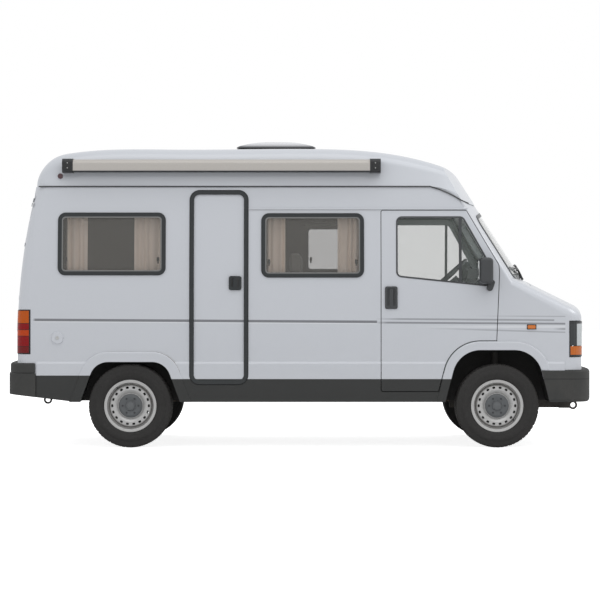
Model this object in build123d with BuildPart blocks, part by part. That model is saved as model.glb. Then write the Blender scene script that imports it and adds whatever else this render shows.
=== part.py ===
from build123d import *
import math
import os

os.makedirs("parts", exist_ok=True)

# Camper van: short high-roof panel van with living space, one unit = 1 mm.
# +X is forward, +Y is the van's left side, +Z is up.  The origin lies on the ground,
# midway between the two bumpers' outer faces.

# ------------------------------------------------------------ driving dimensions
LENGTH = 4760                    # bumper face to bumper face
WHEELBASE = 2924
FRONT_OVERHANG = 805             # front axle to the front bumper's face
BUMPER_REACH_FRONT = 80          # bumper face ahead of the body's nose
BUMPER_REACH_REAR = 125
HALF_WIDTH = 966                 # body side above the crease
LEDGE = 8                        # the lower body side stands this much proud
FLARE = 16                       # wheel-arch flares stand this much proud
SILL_Z = 366                     # lower edge of the body sides
CREASE_Z = 679
BELT_Z = 1000                    # above this the sides lean inwards on an arc
TUMBLE_R = 7630                  # radius of that arc
PARTING_Z = 2084                 # joint between steel body and moulded high roof
WALL = 45                        # whole thickness of sides and doors
PANEL = 25                       # thickness of bonnet, wings and roof shell
GAP = 6                          # gap round every door and lid
LAP = 14                         # outer layer of a door that overlaps its frame...
LAP_STEP = 12                    # ...and how far the inner box stands back from its edge
GLASS = 6
FLOOR_Z = 490                    # inner floor surface
FLOOR_T = 60

FRONT_X = LENGTH / 2
FRONT_AXLE_X = FRONT_X - FRONT_OVERHANG
REAR_AXLE_X = FRONT_AXLE_X - WHEELBASE
NOSE_X = FRONT_X - BUMPER_REACH_FRONT
REAR_X = -FRONT_X + BUMPER_REACH_REAR

# The rear face is upright to REAR_KNEE_Z, then leans forward on an arc.
REAR_KNEE_Z = 850
REAR_LEAN_R = 5290
REAR_LEAN_TOP_Z = 2000
REAR_CORNER_R = 90
REAR_FRAME_DEPTH = 115

# Windscreen and bonnet planes, given by centre-line points they pass through.
SCREEN_BASE_X = NOSE_X - 465
SCREEN_BASE_Z = 1370
SCREEN_RISE = 543
SCREEN_RUN = 353
SCREEN_BOW_R = 3200
BONNET_REAR_Z = 1350
BONNET_FRONT_Z = 1121
BONNET_CROWN_R = 7000
NOSE_BOW = 55
NOSE_CORNER_R = 140
NOSE_RIM_R = 85
PILLAR_R = 30

# The roof joint bends down over the cab: distances behind the nose and heights.
BEND_START = 1257
BEND_MID = (1070, 2020)
BEND_END = (929, 1954)
HEADER = (800, 1942)

# Splits between the body's panels.
B_PILLAR_X = 600                 # body side to cab frame
WING_REAR = 575                  # wing's rear edge behind the front axle
WING_TOP_Z = 1345
BONNET_HALF = 720
BONNET_REAR_X = SCREEN_BASE_X + 27
BONNET_LIP_Z = 1030

# Wheel openings: (axle x, half-width at the sill, half-width at the top, top z, corner).
FRONT_ARCH = (FRONT_AXLE_X, 415, 309, 780, 225)
REAR_ARCH = (REAR_AXLE_X, 398, 280, 685, 150)
FRONT_FLARE_W = 70
FRONT_BUMPER_Z = (SILL_Z, 622)
REAR_FLARE_W = 82

# Wheels and running gear.
TYRE_R = 334
TYRE_HALF_W = 102.5
BEAD_R = 191
WHEEL_Y = 862
STUB_R = 31
BEAM_R = 38
BORE_CLEARANCE = 0.05
KINGPIN_LOW = (770, 205)         # distance from the centre line, height
KINGPIN_HIGH = (670, 800)
STRUT_R = 25


# ------------------------------------------------------------ shared solids
def block(x0, x1, y0, y1, z0, z1):
    """Box between two corners."""
    with BuildPart() as b:
        with BuildSketch(Plane.XY.offset(z0)):
            with Locations(((x0 + x1) / 2, (y0 + y1) / 2)):
                Rectangle(x1 - x0, y1 - y0)
        extrude(amount=z1 - z0)
    return b.part


def side_plane(y):
    """Sketch plane with X across and Z up, at y, whose normal points to the right side."""
    return Plane(origin=(0, y, 0), x_dir=(1, 0, 0), z_dir=(0, -1, 0))


def side_prism(points, y0, y1, radius=0, grow=0):
    """Outline in X and Z, carried across the van from y0 to y1."""
    with BuildPart() as p:
        with BuildSketch(side_plane(y1)):
            with BuildLine():
                Polyline(*points, close=True)
            make_face()
            if radius:
                fillet(vertices(), radius)
            if grow:
                offset(amount=grow, kind=Kind.INTERSECTION)
        extrude(amount=y1 - y0)
    return p.part


def rect(x0, x1, z0, z1):
    return ((x0, z0), (x1, z0), (x1, z1), (x0, z1))


def arch_prism(arch, y0, y1, grow=0):
    """Wheel opening: a trapezium with round shoulders, open below the sill."""
    axle_x, half_sill, half_top, top_z, corner = arch
    drop = 90
    low = half_sill + (half_sill - half_top) / (top_z - SILL_Z) * drop
    with BuildPart() as p:
        with BuildSketch(side_plane(y1)):
            with BuildLine():
                Polyline((axle_x - low, SILL_Z - drop), (axle_x - half_top, top_z),
                         (axle_x + half_top, top_z), (axle_x + low, SILL_Z - drop), close=True)
            make_face()
            fillet(vertices().sort_by(Axis.Y)[-2:], corner)
            if grow:
                offset(amount=grow, kind=Kind.INTERSECTION)
        extrude(amount=y1 - y0)
    return p.part


def lean_in(z, inset=0):
    """Half-width of the body at height z, for a surface inset from the skin."""
    r = TUMBLE_R - inset
    drop = r - math.sqrt(r * r - (z - BELT_Z) ** 2) if z > BELT_Z else 0
    return HALF_WIDTH - inset - drop


def section_prism(inset, bottom=SILL_Z, x0=-2500, x1=2500, top=PARTING_Z + 30):
    """The body's cross-section: upright to the belt, then leaning in on an arc."""
    low = HALF_WIDTH - inset
    mid_z = (BELT_Z + top) / 2
    with BuildPart() as p:
        with BuildSketch(Plane.YZ.offset(x0)):
            with BuildLine():
                Polyline((-low, BELT_Z), (-low, bottom), (low, bottom), (low, BELT_Z))
                ThreePointArc((low, BELT_Z), (lean_in(mid_z, inset), mid_z), (lean_in(top, inset), top))
                Line((lean_in(top, inset), top), (-lean_in(top, inset), top))
                ThreePointArc((-lean_in(top, inset), top), (-lean_in(mid_z, inset), mid_z), (-low, BELT_Z))
            make_face()
        extrude(amount=x1 - x0)
    return p.part


def behind_screen(inset):
    """Everything behind the bowed windscreen surface."""
    up = Vector(-SCREEN_RUN, 0, SCREEN_RISE).normalized()
    plane = Plane(origin=(SCREEN_BASE_X, 0, SCREEN_BASE_Z), x_dir=(0, -1, 0), z_dir=up)
    half = 1200
    sag = SCREEN_BOW_R - math.sqrt(SCREEN_BOW_R**2 - half**2)
    depth = 4700
    with BuildPart() as p:
        with BuildSketch(plane):
            with BuildLine():
                ThreePointArc((-half, -sag - inset), (0, -inset), (half, -sag - inset))
                Polyline((half, -sag - inset), (half, -depth), (-half, -depth), (-half, -sag - inset))
            make_face()
        extrude(amount=3000, both=True)
    return p.part


def under_bonnet(inset):
    """Everything under the crowned bonnet surface."""
    rear = Vector(SCREEN_BASE_X, 0, BONNET_REAR_Z)
    front = Vector(NOSE_X, 0, BONNET_FRONT_Z)
    plane = Plane(origin=rear, x_dir=(0, 1, 0), z_dir=(front - rear).normalized())
    up = 1 if plane.y_dir.Z > 0 else -1
    half = 1100
    sag = BONNET_CROWN_R - math.sqrt(BONNET_CROWN_R**2 - half**2)
    edge = up * (-sag - inset)
    with BuildPart() as p:
        with BuildSketch(plane):
            with BuildLine():
                ThreePointArc((-half, edge), (0, -up * inset), (half, edge))
                Polyline((half, edge), (half, -up * 2500), (-half, -up * 2500), (-half, edge))
            make_face()
        extrude(amount=1500, both=True)
    return p.part


def profile_prism(inset, bottom=SILL_Z, half=1100):
    """The cabin's side profile carried across the van, open to the roof joint."""
    x = REAR_X + inset
    r = REAR_LEAN_R - inset
    mid_z = (REAR_KNEE_Z + REAR_LEAN_TOP_Z) / 2
    mid_x = x + r - math.sqrt(r * r - (mid_z - REAR_KNEE_Z) ** 2)
    top_x = x + r - math.sqrt(r * r - (REAR_LEAN_TOP_Z - REAR_KNEE_Z) ** 2)
    front = NOSE_X - 350
    up = 10 if inset else 0
    with BuildPart() as p:
        with BuildSketch(side_plane(half)):
            with BuildLine():
                Line((x, bottom), (x, REAR_KNEE_Z))
                ThreePointArc((x, REAR_KNEE_Z), (mid_x, mid_z), (top_x, REAR_LEAN_TOP_Z))
                rail = Polyline((top_x, REAR_LEAN_TOP_Z), (x + 140, PARTING_Z + up),
                                (NOSE_X - BEND_START, PARTING_Z + up))
                bend = TangentArc(rail @ 1, (NOSE_X - BEND_MID[0], BEND_MID[1] + up), tangent=(1, 0))
                sweep_up = TangentArc(bend @ 1, (NOSE_X - BEND_END[0], BEND_END[1] + up),
                                      tangent=bend % 1)
                Polyline(sweep_up @ 1, (NOSE_X - HEADER[0], HEADER[1] + up),
                         (front, HEADER[1] + up), (front, bottom), (x, bottom))
            make_face()
        extrude(amount=2 * half)
    return p.part


def cabin(inset, bottom=SILL_Z):
    """Closed volume of the van behind the windscreen."""
    with BuildPart() as c:
        add(profile_prism(inset, bottom))
        add(section_prism(inset, bottom), mode=Mode.INTERSECT)
        corners = c.edges().filter_by(
            lambda e: (e @ 0.5).X < REAR_X + 300 and abs((e @ 0.5).Y) > 800
            and abs((e @ 1).Z - (e @ 0).Z) > 60)
        fillet(corners, REAR_CORNER_R - inset)
        add(behind_screen(inset), mode=Mode.INTERSECT)
        pillars = c.edges().filter_by(
            lambda e: SCREEN_BASE_X - 635 < (e @ 0.5).X < SCREEN_BASE_X + 65
            and abs((e @ 0.5).Y) > 800 and (e @ 0.5).Z > BELT_Z + 50
            and abs((e @ 1).Z - (e @ 0).Z) > 300)
        fillet(pillars, PILLAR_R)
    return c.part


def nose(inset, bottom=SILL_Z):
    """Closed volume under the bonnet, with its rolled front edge."""
    half = HALF_WIDTH - inset
    x = NOSE_X - inset
    start = NOSE_X - 800
    with BuildPart() as n:
        with BuildSketch(Plane.XY.offset(bottom)):
            with BuildLine():
                Polyline((x - NOSE_BOW, -half), (start, -half), (start, half), (x - NOSE_BOW, half))
                ThreePointArc((x - NOSE_BOW, half), (x, 0), (x - NOSE_BOW, -half))
            make_face()
            fillet(vertices().sort_by(Axis.X)[-2:], NOSE_CORNER_R - inset)
        extrude(amount=1500)
        add(under_bonnet(inset), mode=Mode.INTERSECT)
        lid = n.faces().filter_by(GeomType.PLANE, reverse=True).sort_by(Axis.Z)[-1]
        fillet(lid.edges().filter_by(lambda e: (e @ 0.5).X > start + 10), NOSE_RIM_R)
        add(section_prism(inset, bottom), mode=Mode.INTERSECT)
    return n.part


LEDGE_REAR_X = REAR_X + 160
SILL_RISE_X = -1783              # behind this the lower edge climbs to the rear bumper
SILL_RISE = 0.12


def ledge(side):
    """The proud lower body side, chamfered along the crease."""
    y = side * HALF_WIDTH
    with BuildPart() as p:
        with BuildSketch(Plane.YZ.offset(LEDGE_REAR_X)):
            with BuildLine():
                Polyline((y - side * 20, SILL_Z), (y + side * LEDGE, SILL_Z),
                         (y + side * LEDGE, CREASE_Z - LEDGE), (y, CREASE_Z + LEDGE),
                         (y - side * 20, CREASE_Z + LEDGE), close=True)
            make_face()
        extrude(amount=NOSE_X - 190 - LEDGE_REAR_X)
    return p.part


def skin_band(side, proud, depth, x0, x1, z0, z1):
    """Strip that follows the leaning body side, from proud of it to depth inside it."""
    outer = [side * lean_in(z, -proud) for z in (z0, (z0 + z1) / 2, z1)]
    inner = [side * lean_in(z, depth) for z in (z0, (z0 + z1) / 2, z1)]
    mid_z = (z0 + z1) / 2
    with BuildPart() as p:
        with BuildSketch(Plane.YZ.offset(x0)):
            with BuildLine():
                ThreePointArc((outer[0], z0), (outer[1], mid_z), (outer[2], z1))
                Line((outer[2], z1), (inner[2], z1))
                ThreePointArc((inner[2], z1), (inner[1], mid_z), (inner[0], z0))
                Line((inner[0], z0), (outer[0], z0))
            make_face()
        extrude(amount=x1 - x0)
    return p.part


def both_sides(y0, y1):
    """The two y-ranges of a thing that stands on both sides, right side first."""
    return (-y1, -y0), (y0, y1)


# ------------------------------------------------------------ openings in the shell
# Cab door: rear edge, foot, head, then down the front pillar to the wheel arch.
DOOR_REAR_X = 652
DOOR_FOOT_Z = 452
DOOR_HEAD_Z = 1892
PILLAR_HEAD_X = NOSE_X - 971
PILLAR_BELT = (NOSE_X - 715, 1458)
DOOR_FRONT_X = NOSE_X - 710
DOOR_LOW_X = NOSE_X - 732
CAB_DOOR = ((DOOR_REAR_X, DOOR_FOOT_Z), (DOOR_REAR_X, DOOR_HEAD_Z), (PILLAR_HEAD_X, DOOR_HEAD_Z),
            PILLAR_BELT, (DOOR_FRONT_X, 1400), (DOOR_LOW_X, 884), (DOOR_LOW_X - 8, DOOR_FOOT_Z))
CAB_DOOR_R = 14
CAB_GLASS = ((DOOR_REAR_X + 130, 1374), (DOOR_REAR_X + 130, 1833), (PILLAR_HEAD_X - 32, 1833),
             (PILLAR_BELT[0] - 72, 1450), (PILLAR_BELT[0] - 72, 1297))
CAB_GLASS_R = 34
CAB_SEAL = 13                    # width of the rubber round the cab door glass
QUARTER_BAR_X = 1280
QUARTER_BAR_W = 24

# Living-space windows: (side, rear x, front x, bottom z, top z) of the outer frame.
SIDE_WINDOWS = ((-1, -1927, -1067, 1374, 1876), (-1, -306, 514, 1356, 1871),
                (1, 30, 580, 1410, 1840))
WINDOW_FRAME_W = 32
WINDOW_R = 62
WINDOW_PROUD = 12

# Entry door on the right: outer edge of its rubber frame.
ENTRY = (-873, -413, 508, 2051)
ENTRY_R = 75
ENTRY_FRAME_W = 31

# Twin rear doors.
REAR_DOOR_HALF = 858
REAR_DOOR_GAP = 7
REAR_DOOR_MEET = 5               # each leaf's edge from the centre line
REAR_DOOR_Z = (690, 2045)
REAR_DOOR_R = 60
REAR_GLASS_Y = (110, 740)
REAR_GLASS_Z = (1330, 1850)

# Lamps.
HEADLAMP_REAR = 153              # rear edge behind the nose
HEADLAMP_INNER_Y = 640
HEADLAMP_Z = (722, 1014)
INDICATOR_TOP_Z = 812
TAIL_LAMP_INNER_Y = 872
TAIL_LAMP_Z = (746, 1102)
TAIL_LAMP_WRAP = 113
GRILLE_HALF = 628
GRILLE_Z = (722, 1014)

SCREEN_HALF_LOW = 800
SCREEN_HALF_HIGH = 755
SCREEN_V = (30, 612)             # glass opening measured up the screen from its base
SCREEN_R = 70


def screen_prism(grow=0):
    """The windscreen opening's outline, carried along the screen's normal."""
    up = Vector(-SCREEN_RUN, 0, SCREEN_RISE).normalized()
    normal = Vector(SCREEN_RISE, 0, SCREEN_RUN).normalized()
    origin = Vector(SCREEN_BASE_X, 0, SCREEN_BASE_Z) - normal * 220
    with BuildPart() as p:
        with BuildSketch(Plane(origin=origin, x_dir=(0, 1, 0), z_dir=normal)):
            with BuildLine():
                Polyline((-SCREEN_HALF_LOW, SCREEN_V[0]), (SCREEN_HALF_LOW, SCREEN_V[0]),
                         (SCREEN_HALF_HIGH, SCREEN_V[1]), (-SCREEN_HALF_HIGH, SCREEN_V[1]), close=True)
            make_face()
            fillet(vertices(), SCREEN_R)
            if grow:
                offset(amount=grow, kind=Kind.INTERSECTION)
        extrude(amount=260)
    return p.part


def rear_prism(y0, y1, z0, z1, radius, grow=0):
    """Outline in Y and Z, carried along X through the rear face."""
    with BuildPart() as p:
        with BuildSketch(Plane.YZ.offset(REAR_X - 60)):
            with Locations(((y0 + y1) / 2, (z0 + z1) / 2)):
                RectangleRounded(abs(y1 - y0) + 2 * grow, z1 - z0 + 2 * grow, radius + grow)
        extrude(amount=260)
    return p.part


def common(first, second):
    """The solid that two solids share."""
    with BuildPart() as p:
        add(first)
        add(second, mode=Mode.INTERSECT)
    return p.part


def mirrored(part):
    return mirror(part, about=Plane.XZ, mode=Mode.PRIVATE)


# ------------------------------------------------------------ the whole shell
outer_cabin = cabin(0)
outer_nose = nose(0)
inner_cabin = cabin(WALL, SILL_Z - 60)
inner_nose = nose(PANEL, SILL_Z - 60)
ledge_right = ledge(-1)
ledge_left = ledge(1)
GUTTER_Z = DOOR_HEAD_Z + 9
gutter_right = skin_band(-1, 9, 5, ENTRY[1], PILLAR_HEAD_X + 12, GUTTER_Z, GUTTER_Z + 10)
gutter_left = skin_band(1, 9, 5, REAR_X + 300, PILLAR_HEAD_X + 12, GUTTER_Z, GUTTER_Z + 10)

rise_end_x = -FRONT_X - 50
under_rise = side_prism(((SILL_RISE_X + 50, SILL_Z - 50 * SILL_RISE), (SILL_RISE_X + 50, SILL_Z - 200),
                         (rise_end_x, SILL_Z - 200), (rise_end_x, SILL_Z + (SILL_RISE_X - rise_end_x) * SILL_RISE)),
                        -1200, 1200)

with BuildPart() as shell:
    add(outer_cabin)
    add(outer_nose)
    add(ledge_right)
    add(ledge_left)
    add(gutter_right)
    add(gutter_left)
    add(inner_cabin, mode=Mode.SUBTRACT)
    add(inner_nose, mode=Mode.SUBTRACT)
    add(under_rise, mode=Mode.SUBTRACT)

cab_door_cut = [side_prism(CAB_DOOR, y0, y1, CAB_DOOR_R, GAP) for y0, y1 in both_sides(700, 1000)]
front_arch_cut = arch_prism(FRONT_ARCH, -1100, 1100)
rear_arch_cut = arch_prism(REAR_ARCH, -1100, 1100)
rear_lamp_cut = [block(REAR_X - 50, REAR_X + TAIL_LAMP_WRAP, y0, y1, *TAIL_LAMP_Z)
                 for y0, y1 in both_sides(TAIL_LAMP_INNER_Y, 1000)]
head_lamp_cut = [block(NOSE_X - HEADLAMP_REAR, NOSE_X + 50, y0, y1, *HEADLAMP_Z)
                 for y0, y1 in both_sides(HEADLAMP_INNER_Y, 1000)]
rear_zone = profile_prism(REAR_FRAME_DEPTH)
lap_volume = cabin(LAP, SILL_Z - 60).fuse(nose(LAP, SILL_Z - 60))


def flare(arch, width, side):
    """Raised lip round a wheel opening, with a soft outer edge."""
    y_out = side * (HALF_WIDTH + FLARE)
    y_in = side * (HALF_WIDTH - PANEL)
    band = arch_prism(arch, min(y_in, y_out), max(y_in, y_out), width)
    hole = arch_prism(arch, -1100, 1100)
    floor_cut = block(arch[0] - 900, arch[0] + 900, -1100, 1100, -200, SILL_Z)
    bumper_room = block(FRONT_AXLE_X + 200, NOSE_X, -1100, 1100, SILL_Z - 1, FRONT_BUMPER_Z[1] + 3)
    with BuildPart() as p:
        add(band)
        rim = p.faces().sort_by(Axis.Y)[0 if side < 0 else -1]
        fillet(rim.edges(), 14)
        add(hole, mode=Mode.SUBTRACT)
        add(floor_cut, mode=Mode.SUBTRACT)
        add(bumper_room, mode=Mode.SUBTRACT)
    return p.part


flares = {(arch[0], side): flare(arch, width, side)
          for arch, width in ((FRONT_ARCH, FRONT_FLARE_W), (REAR_ARCH, REAR_FLARE_W))
          for side in (-1, 1)}


def finish(part, name):
    part.label = name
    export_step(part, f"parts/{name}.step")
    print(name, len(part.solids()), round(part.volume / 1e6, 1), part.is_valid)


# ------------------------------------------------------------ body sides
for side, name in ((-1, "side_right"), (1, "side_left")):
    y0, y1 = (-1000, -1) if side < 0 else (1, 1000)
    zone = block(REAR_X, B_PILLAR_X, y0, y1, SILL_Z, PARTING_Z)
    window_cuts = [side_prism(rect(x0 + WINDOW_FRAME_W, x1 - WINDOW_FRAME_W,
                                   z0 + WINDOW_FRAME_W, z1 - WINDOW_FRAME_W), y0, y1,
                              WINDOW_R - WINDOW_FRAME_W)
                   for s, x0, x1, z0, z1 in SIDE_WINDOWS if s == side]
    entry_cut = side_prism(rect(*ENTRY), y0, y1, ENTRY_R, GAP)
    with BuildPart() as body_side:
        add(shell.part)
        add(zone, mode=Mode.INTERSECT)
        add(rear_zone, mode=Mode.INTERSECT)
        add(flares[(REAR_AXLE_X, side)])
        add(rear_arch_cut, mode=Mode.SUBTRACT)
        add(rear_lamp_cut[0 if side < 0 else 1], mode=Mode.SUBTRACT)
        for cut in window_cuts:
            add(cut, mode=Mode.SUBTRACT)
        if side < 0:
            add(entry_cut, mode=Mode.SUBTRACT)
    finish(body_side.part, name)

# ------------------------------------------------------------ rear frame
rear_slab = block(REAR_X - 10, REAR_X + 400, -1000, 1000, SILL_Z, PARTING_Z)
rear_opening = rear_prism(-REAR_DOOR_HALF, REAR_DOOR_HALF, *REAR_DOOR_Z, REAR_DOOR_R, REAR_DOOR_GAP)
with BuildPart() as rear_frame:
    add(shell.part)
    add(rear_slab, mode=Mode.INTERSECT)
    add(rear_zone, mode=Mode.SUBTRACT)
    add(rear_opening, mode=Mode.SUBTRACT)
    for cut in rear_lamp_cut:
        add(cut, mode=Mode.SUBTRACT)
finish(rear_frame.part, "rear_frame")

# ------------------------------------------------------------ cab frame, wings, front panel
wing_zone = [block(FRONT_AXLE_X - WING_REAR, NOSE_X + 10, y0, y1, SILL_Z, WING_TOP_Z)
             for y0, y1 in both_sides(BONNET_HALF + GAP, 1100)]
front_zone = block(BONNET_REAR_X, NOSE_X + 10, -BONNET_HALF - GAP, BONNET_HALF + GAP,
                   SILL_Z, WING_TOP_Z + 60)
cab_zone = block(B_PILLAR_X, NOSE_X, -1100, 1100, SILL_Z, PARTING_Z)
screen_cut = screen_prism()
with BuildPart() as cab_frame:
    add(shell.part)
    add(cab_zone, mode=Mode.INTERSECT)
    for zone in wing_zone:
        add(zone, mode=Mode.SUBTRACT)
    add(front_zone, mode=Mode.SUBTRACT)
    for cut in cab_door_cut:
        add(cut, mode=Mode.SUBTRACT)
    add(screen_cut, mode=Mode.SUBTRACT)
finish(cab_frame.part, "cab_frame")

with BuildPart() as wing_right:
    add(shell.part)
    add(wing_zone[0], mode=Mode.INTERSECT)
    add(cab_door_cut[0], mode=Mode.SUBTRACT)
    add(flares[(FRONT_AXLE_X, -1)])
    add(front_arch_cut, mode=Mode.SUBTRACT)
    add(head_lamp_cut[0], mode=Mode.SUBTRACT)
wing_pair = [wing_right.part, mirrored(wing_right.part)]
with BuildPart() as wings:
    for panel in wing_pair:
        add(panel)
finish(wings.part, "wings")

bonnet_cut = block(BONNET_REAR_X, NOSE_X + 10, -BONNET_HALF - GAP, BONNET_HALF + GAP,
                   BONNET_LIP_Z - GAP, WING_TOP_Z + 60)
grille_cut = block(NOSE_X - 200, NOSE_X + 10, -GRILLE_HALF, GRILLE_HALF, *GRILLE_Z)
with BuildPart() as front_panel:
    add(shell.part)
    add(front_zone, mode=Mode.INTERSECT)
    add(bonnet_cut, mode=Mode.SUBTRACT)
    add(grille_cut, mode=Mode.SUBTRACT)
    for cut in head_lamp_cut:
        add(cut, mode=Mode.SUBTRACT)
finish(front_panel.part, "front_panel")

bonnet_zone = block(BONNET_REAR_X + GAP, NOSE_X + 10, -BONNET_HALF, BONNET_HALF,
                    BONNET_LIP_Z, WING_TOP_Z + 60)
with BuildPart() as bonnet:
    add(outer_nose)
    add(inner_nose, mode=Mode.SUBTRACT)
    add(bonnet_zone, mode=Mode.INTERSECT)
finish(bonnet.part, "bonnet")

# ------------------------------------------------------------ cab doors, glass, fittings
MIRROR_X = (1418, 1536)
MIRROR_Z = (1304, 1517)
MIRROR_Y = (1000, 1150)
HANDLE_X = (DOOR_REAR_X + 28, DOOR_REAR_X + 128)
HANDLE_Z = (1106, 1286)
HANDLE_PROUD = 12


def cab_door(side):
    y0, y1 = (-1000, -700) if side < 0 else (700, 1000)
    outline = side_prism(CAB_DOOR, y0, y1, CAB_DOOR_R)
    step = lap_volume.cut(side_prism(CAB_DOOR, y0, y1, CAB_DOOR_R, -LAP_STEP))
    arch_edge = arch_prism(FRONT_ARCH, y0, y1, FRONT_FLARE_W + GAP)
    glass_hole = side_prism(CAB_GLASS, y0, y1, CAB_GLASS_R)
    with BuildPart() as p:
        add(shell.part)
        add(outline, mode=Mode.INTERSECT)
        add(step, mode=Mode.SUBTRACT)
        add(arch_edge, mode=Mode.SUBTRACT)
        add(glass_hole, mode=Mode.SUBTRACT)
    return p.part


def cab_glass(side):
    y0, y1 = (-1000, -700) if side < 0 else (700, 1000)
    pane = skin_band(side, -16, 16 + GLASS, DOOR_REAR_X, DOOR_FRONT_X, 1200, 1880)
    hole = side_prism(CAB_GLASS, y0, y1, CAB_GLASS_R)
    bar = block(QUARTER_BAR_X - QUARTER_BAR_W / 2, QUARTER_BAR_X + QUARTER_BAR_W / 2, y0, y1, 1200, 1900)
    with BuildPart() as p:
        add(pane)
        add(hole, mode=Mode.INTERSECT)
        add(bar, mode=Mode.SUBTRACT)
    return p.part


def mirror_head():
    """Mirror housing with its foot on the door, right side."""
    cx = sum(MIRROR_X) / 2
    cz = sum(MIRROR_Z) / 2
    foot_z = MIRROR_Z[0] - 10
    with BuildPart() as p:
        with BuildSketch(side_plane(-MIRROR_Y[0])):
            with Locations((cx, cz)):
                RectangleRounded(MIRROR_X[1] - MIRROR_X[0], MIRROR_Z[1] - MIRROR_Z[0], 34)
        extrude(amount=MIRROR_Y[1] - MIRROR_Y[0], taper=3)
        fillet(p.faces().sort_by(Axis.Y)[0].edges(), 22)
        with BuildSketch(side_plane(-lean_in(foot_z, 4))):
            with Locations((cx + 42, foot_z)):
                SlotOverall(92, 46, rotation=70)
        extrude(amount=MIRROR_Y[0] - lean_in(foot_z, 4) + 40)
    return p.part


def door_handle(x0, x1, z0, z1, radius):
    """Recessed pull handle, right side: a raised plate with a hollow under a grip bar."""
    y_back = lean_in(z0, 2)
    y_front = HALF_WIDTH + HANDLE_PROUD
    width = x1 - x0
    with BuildPart() as p:
        with BuildSketch(side_plane(-y_back)):
            with Locations(((x0 + x1) / 2, (z0 + z1) / 2)):
                RectangleRounded(width, z1 - z0, radius)
        extrude(amount=y_front - y_back)
        fillet(p.faces().sort_by(Axis.Y)[0].edges(), 4)
        with BuildSketch(side_plane(-y_front)):
            with Locations(((x0 + x1) / 2, (z0 + z1) / 2 + 6)):
                RectangleRounded(width - 34, z1 - z0 - 44, radius * 0.6)
        extrude(amount=-9, mode=Mode.SUBTRACT)
        with BuildSketch(side_plane(-y_front + 10)):
            with Locations(((x0 + x1) / 2, (z0 + z1) / 2)):
                RectangleRounded(width * 0.3, z1 - z0 - 36, width * 0.12)
        extrude(amount=12)
    return p.part


def cab_fittings():
    """Window rubber, quarter-light bar, mirror and handle of the right cab door."""
    rubber = skin_band(-1, 3, 24, DOOR_REAR_X, DOOR_FRONT_X, 1200, 1880)
    outside = side_prism(CAB_GLASS, -1000, -700, CAB_GLASS_R, CAB_SEAL)
    inside = side_prism(CAB_GLASS, -1000, -700, CAB_GLASS_R)
    proud = skin_band(-1, 3, 0, DOOR_REAR_X, DOOR_FRONT_X, 1200, 1880)
    bar = block(QUARTER_BAR_X - QUARTER_BAR_W / 2 + 0.5, QUARTER_BAR_X + QUARTER_BAR_W / 2 - 0.5,
                -1000, -700, 1200, 1900)
    mirror_part = mirror_head()
    handle = door_handle(*HANDLE_X, *HANDLE_Z, 16)
    with BuildPart() as frame:
        add(proud)
        add(outside, mode=Mode.INTERSECT)
        add(inside, mode=Mode.SUBTRACT)
    with BuildPart() as divider:
        add(rubber)
        add(bar, mode=Mode.INTERSECT)
        add(outside, mode=Mode.INTERSECT)
        add(shell.part, mode=Mode.SUBTRACT)
    divider_inside = divider.part.intersect(inside)
    with BuildPart() as p:
        add(mirror_part)
        add(handle)
        add(cab_door_right, mode=Mode.SUBTRACT)
        add(frame.part)
        add(divider_inside)
    return p.part


cab_door_right = cab_door(-1)
cab_fittings_right = cab_fittings()
for side, name in ((-1, "right"), (1, "left")):
    finish(cab_door_right if side < 0 else mirrored(cab_door_right), f"cab_door_{name}")
    finish(cab_glass(side), f"cab_glass_{name}")
    fittings = cab_fittings_right if side < 0 else mirrored(cab_fittings_right)
    finish(fittings, f"cab_door_fittings_{name}")

# ------------------------------------------------------------ entry door
ENTRY_HANDLE_X = (-564, -463)
ENTRY_HANDLE_Z = (1256, 1369)
entry_outline = side_prism(rect(*ENTRY), -1000, -700, ENTRY_R)
entry_inside = side_prism(rect(*ENTRY), -1000, -700, ENTRY_R, -ENTRY_FRAME_W)
entry_handle = door_handle(*ENTRY_HANDLE_X, *ENTRY_HANDLE_Z, 18)
entry_step = lap_volume.cut(side_prism(rect(*ENTRY), -1000, -700, ENTRY_R, -LAP_STEP))
with BuildPart() as entry_door:
    add(shell.part)
    add(entry_outline, mode=Mode.INTERSECT)
    add(entry_step, mode=Mode.SUBTRACT)
finish(entry_door.part, "entry_door")

rubber_x = (ENTRY[0] - 20, ENTRY[1] + 20)
rubber_low = block(*rubber_x, -HALF_WIDTH - LEDGE - 5, -HALF_WIDTH - LEDGE, ENTRY[2] - 20, CREASE_Z)
rubber_mid = block(*rubber_x, -HALF_WIDTH - LEDGE - 5, -HALF_WIDTH, CREASE_Z - 12, BELT_Z)
rubber_high = skin_band(-1, LEDGE + 5, 0, *rubber_x, BELT_Z, ENTRY[3] + 20)
with BuildPart() as entry_rubber:
    add(rubber_low)
    add(rubber_mid)
    add(rubber_high)
    add(entry_outline, mode=Mode.INTERSECT)
    add(entry_inside, mode=Mode.SUBTRACT)
    add(entry_handle)
    add(entry_door.part, mode=Mode.SUBTRACT)
finish(entry_rubber.part, "entry_door_fittings")

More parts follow.
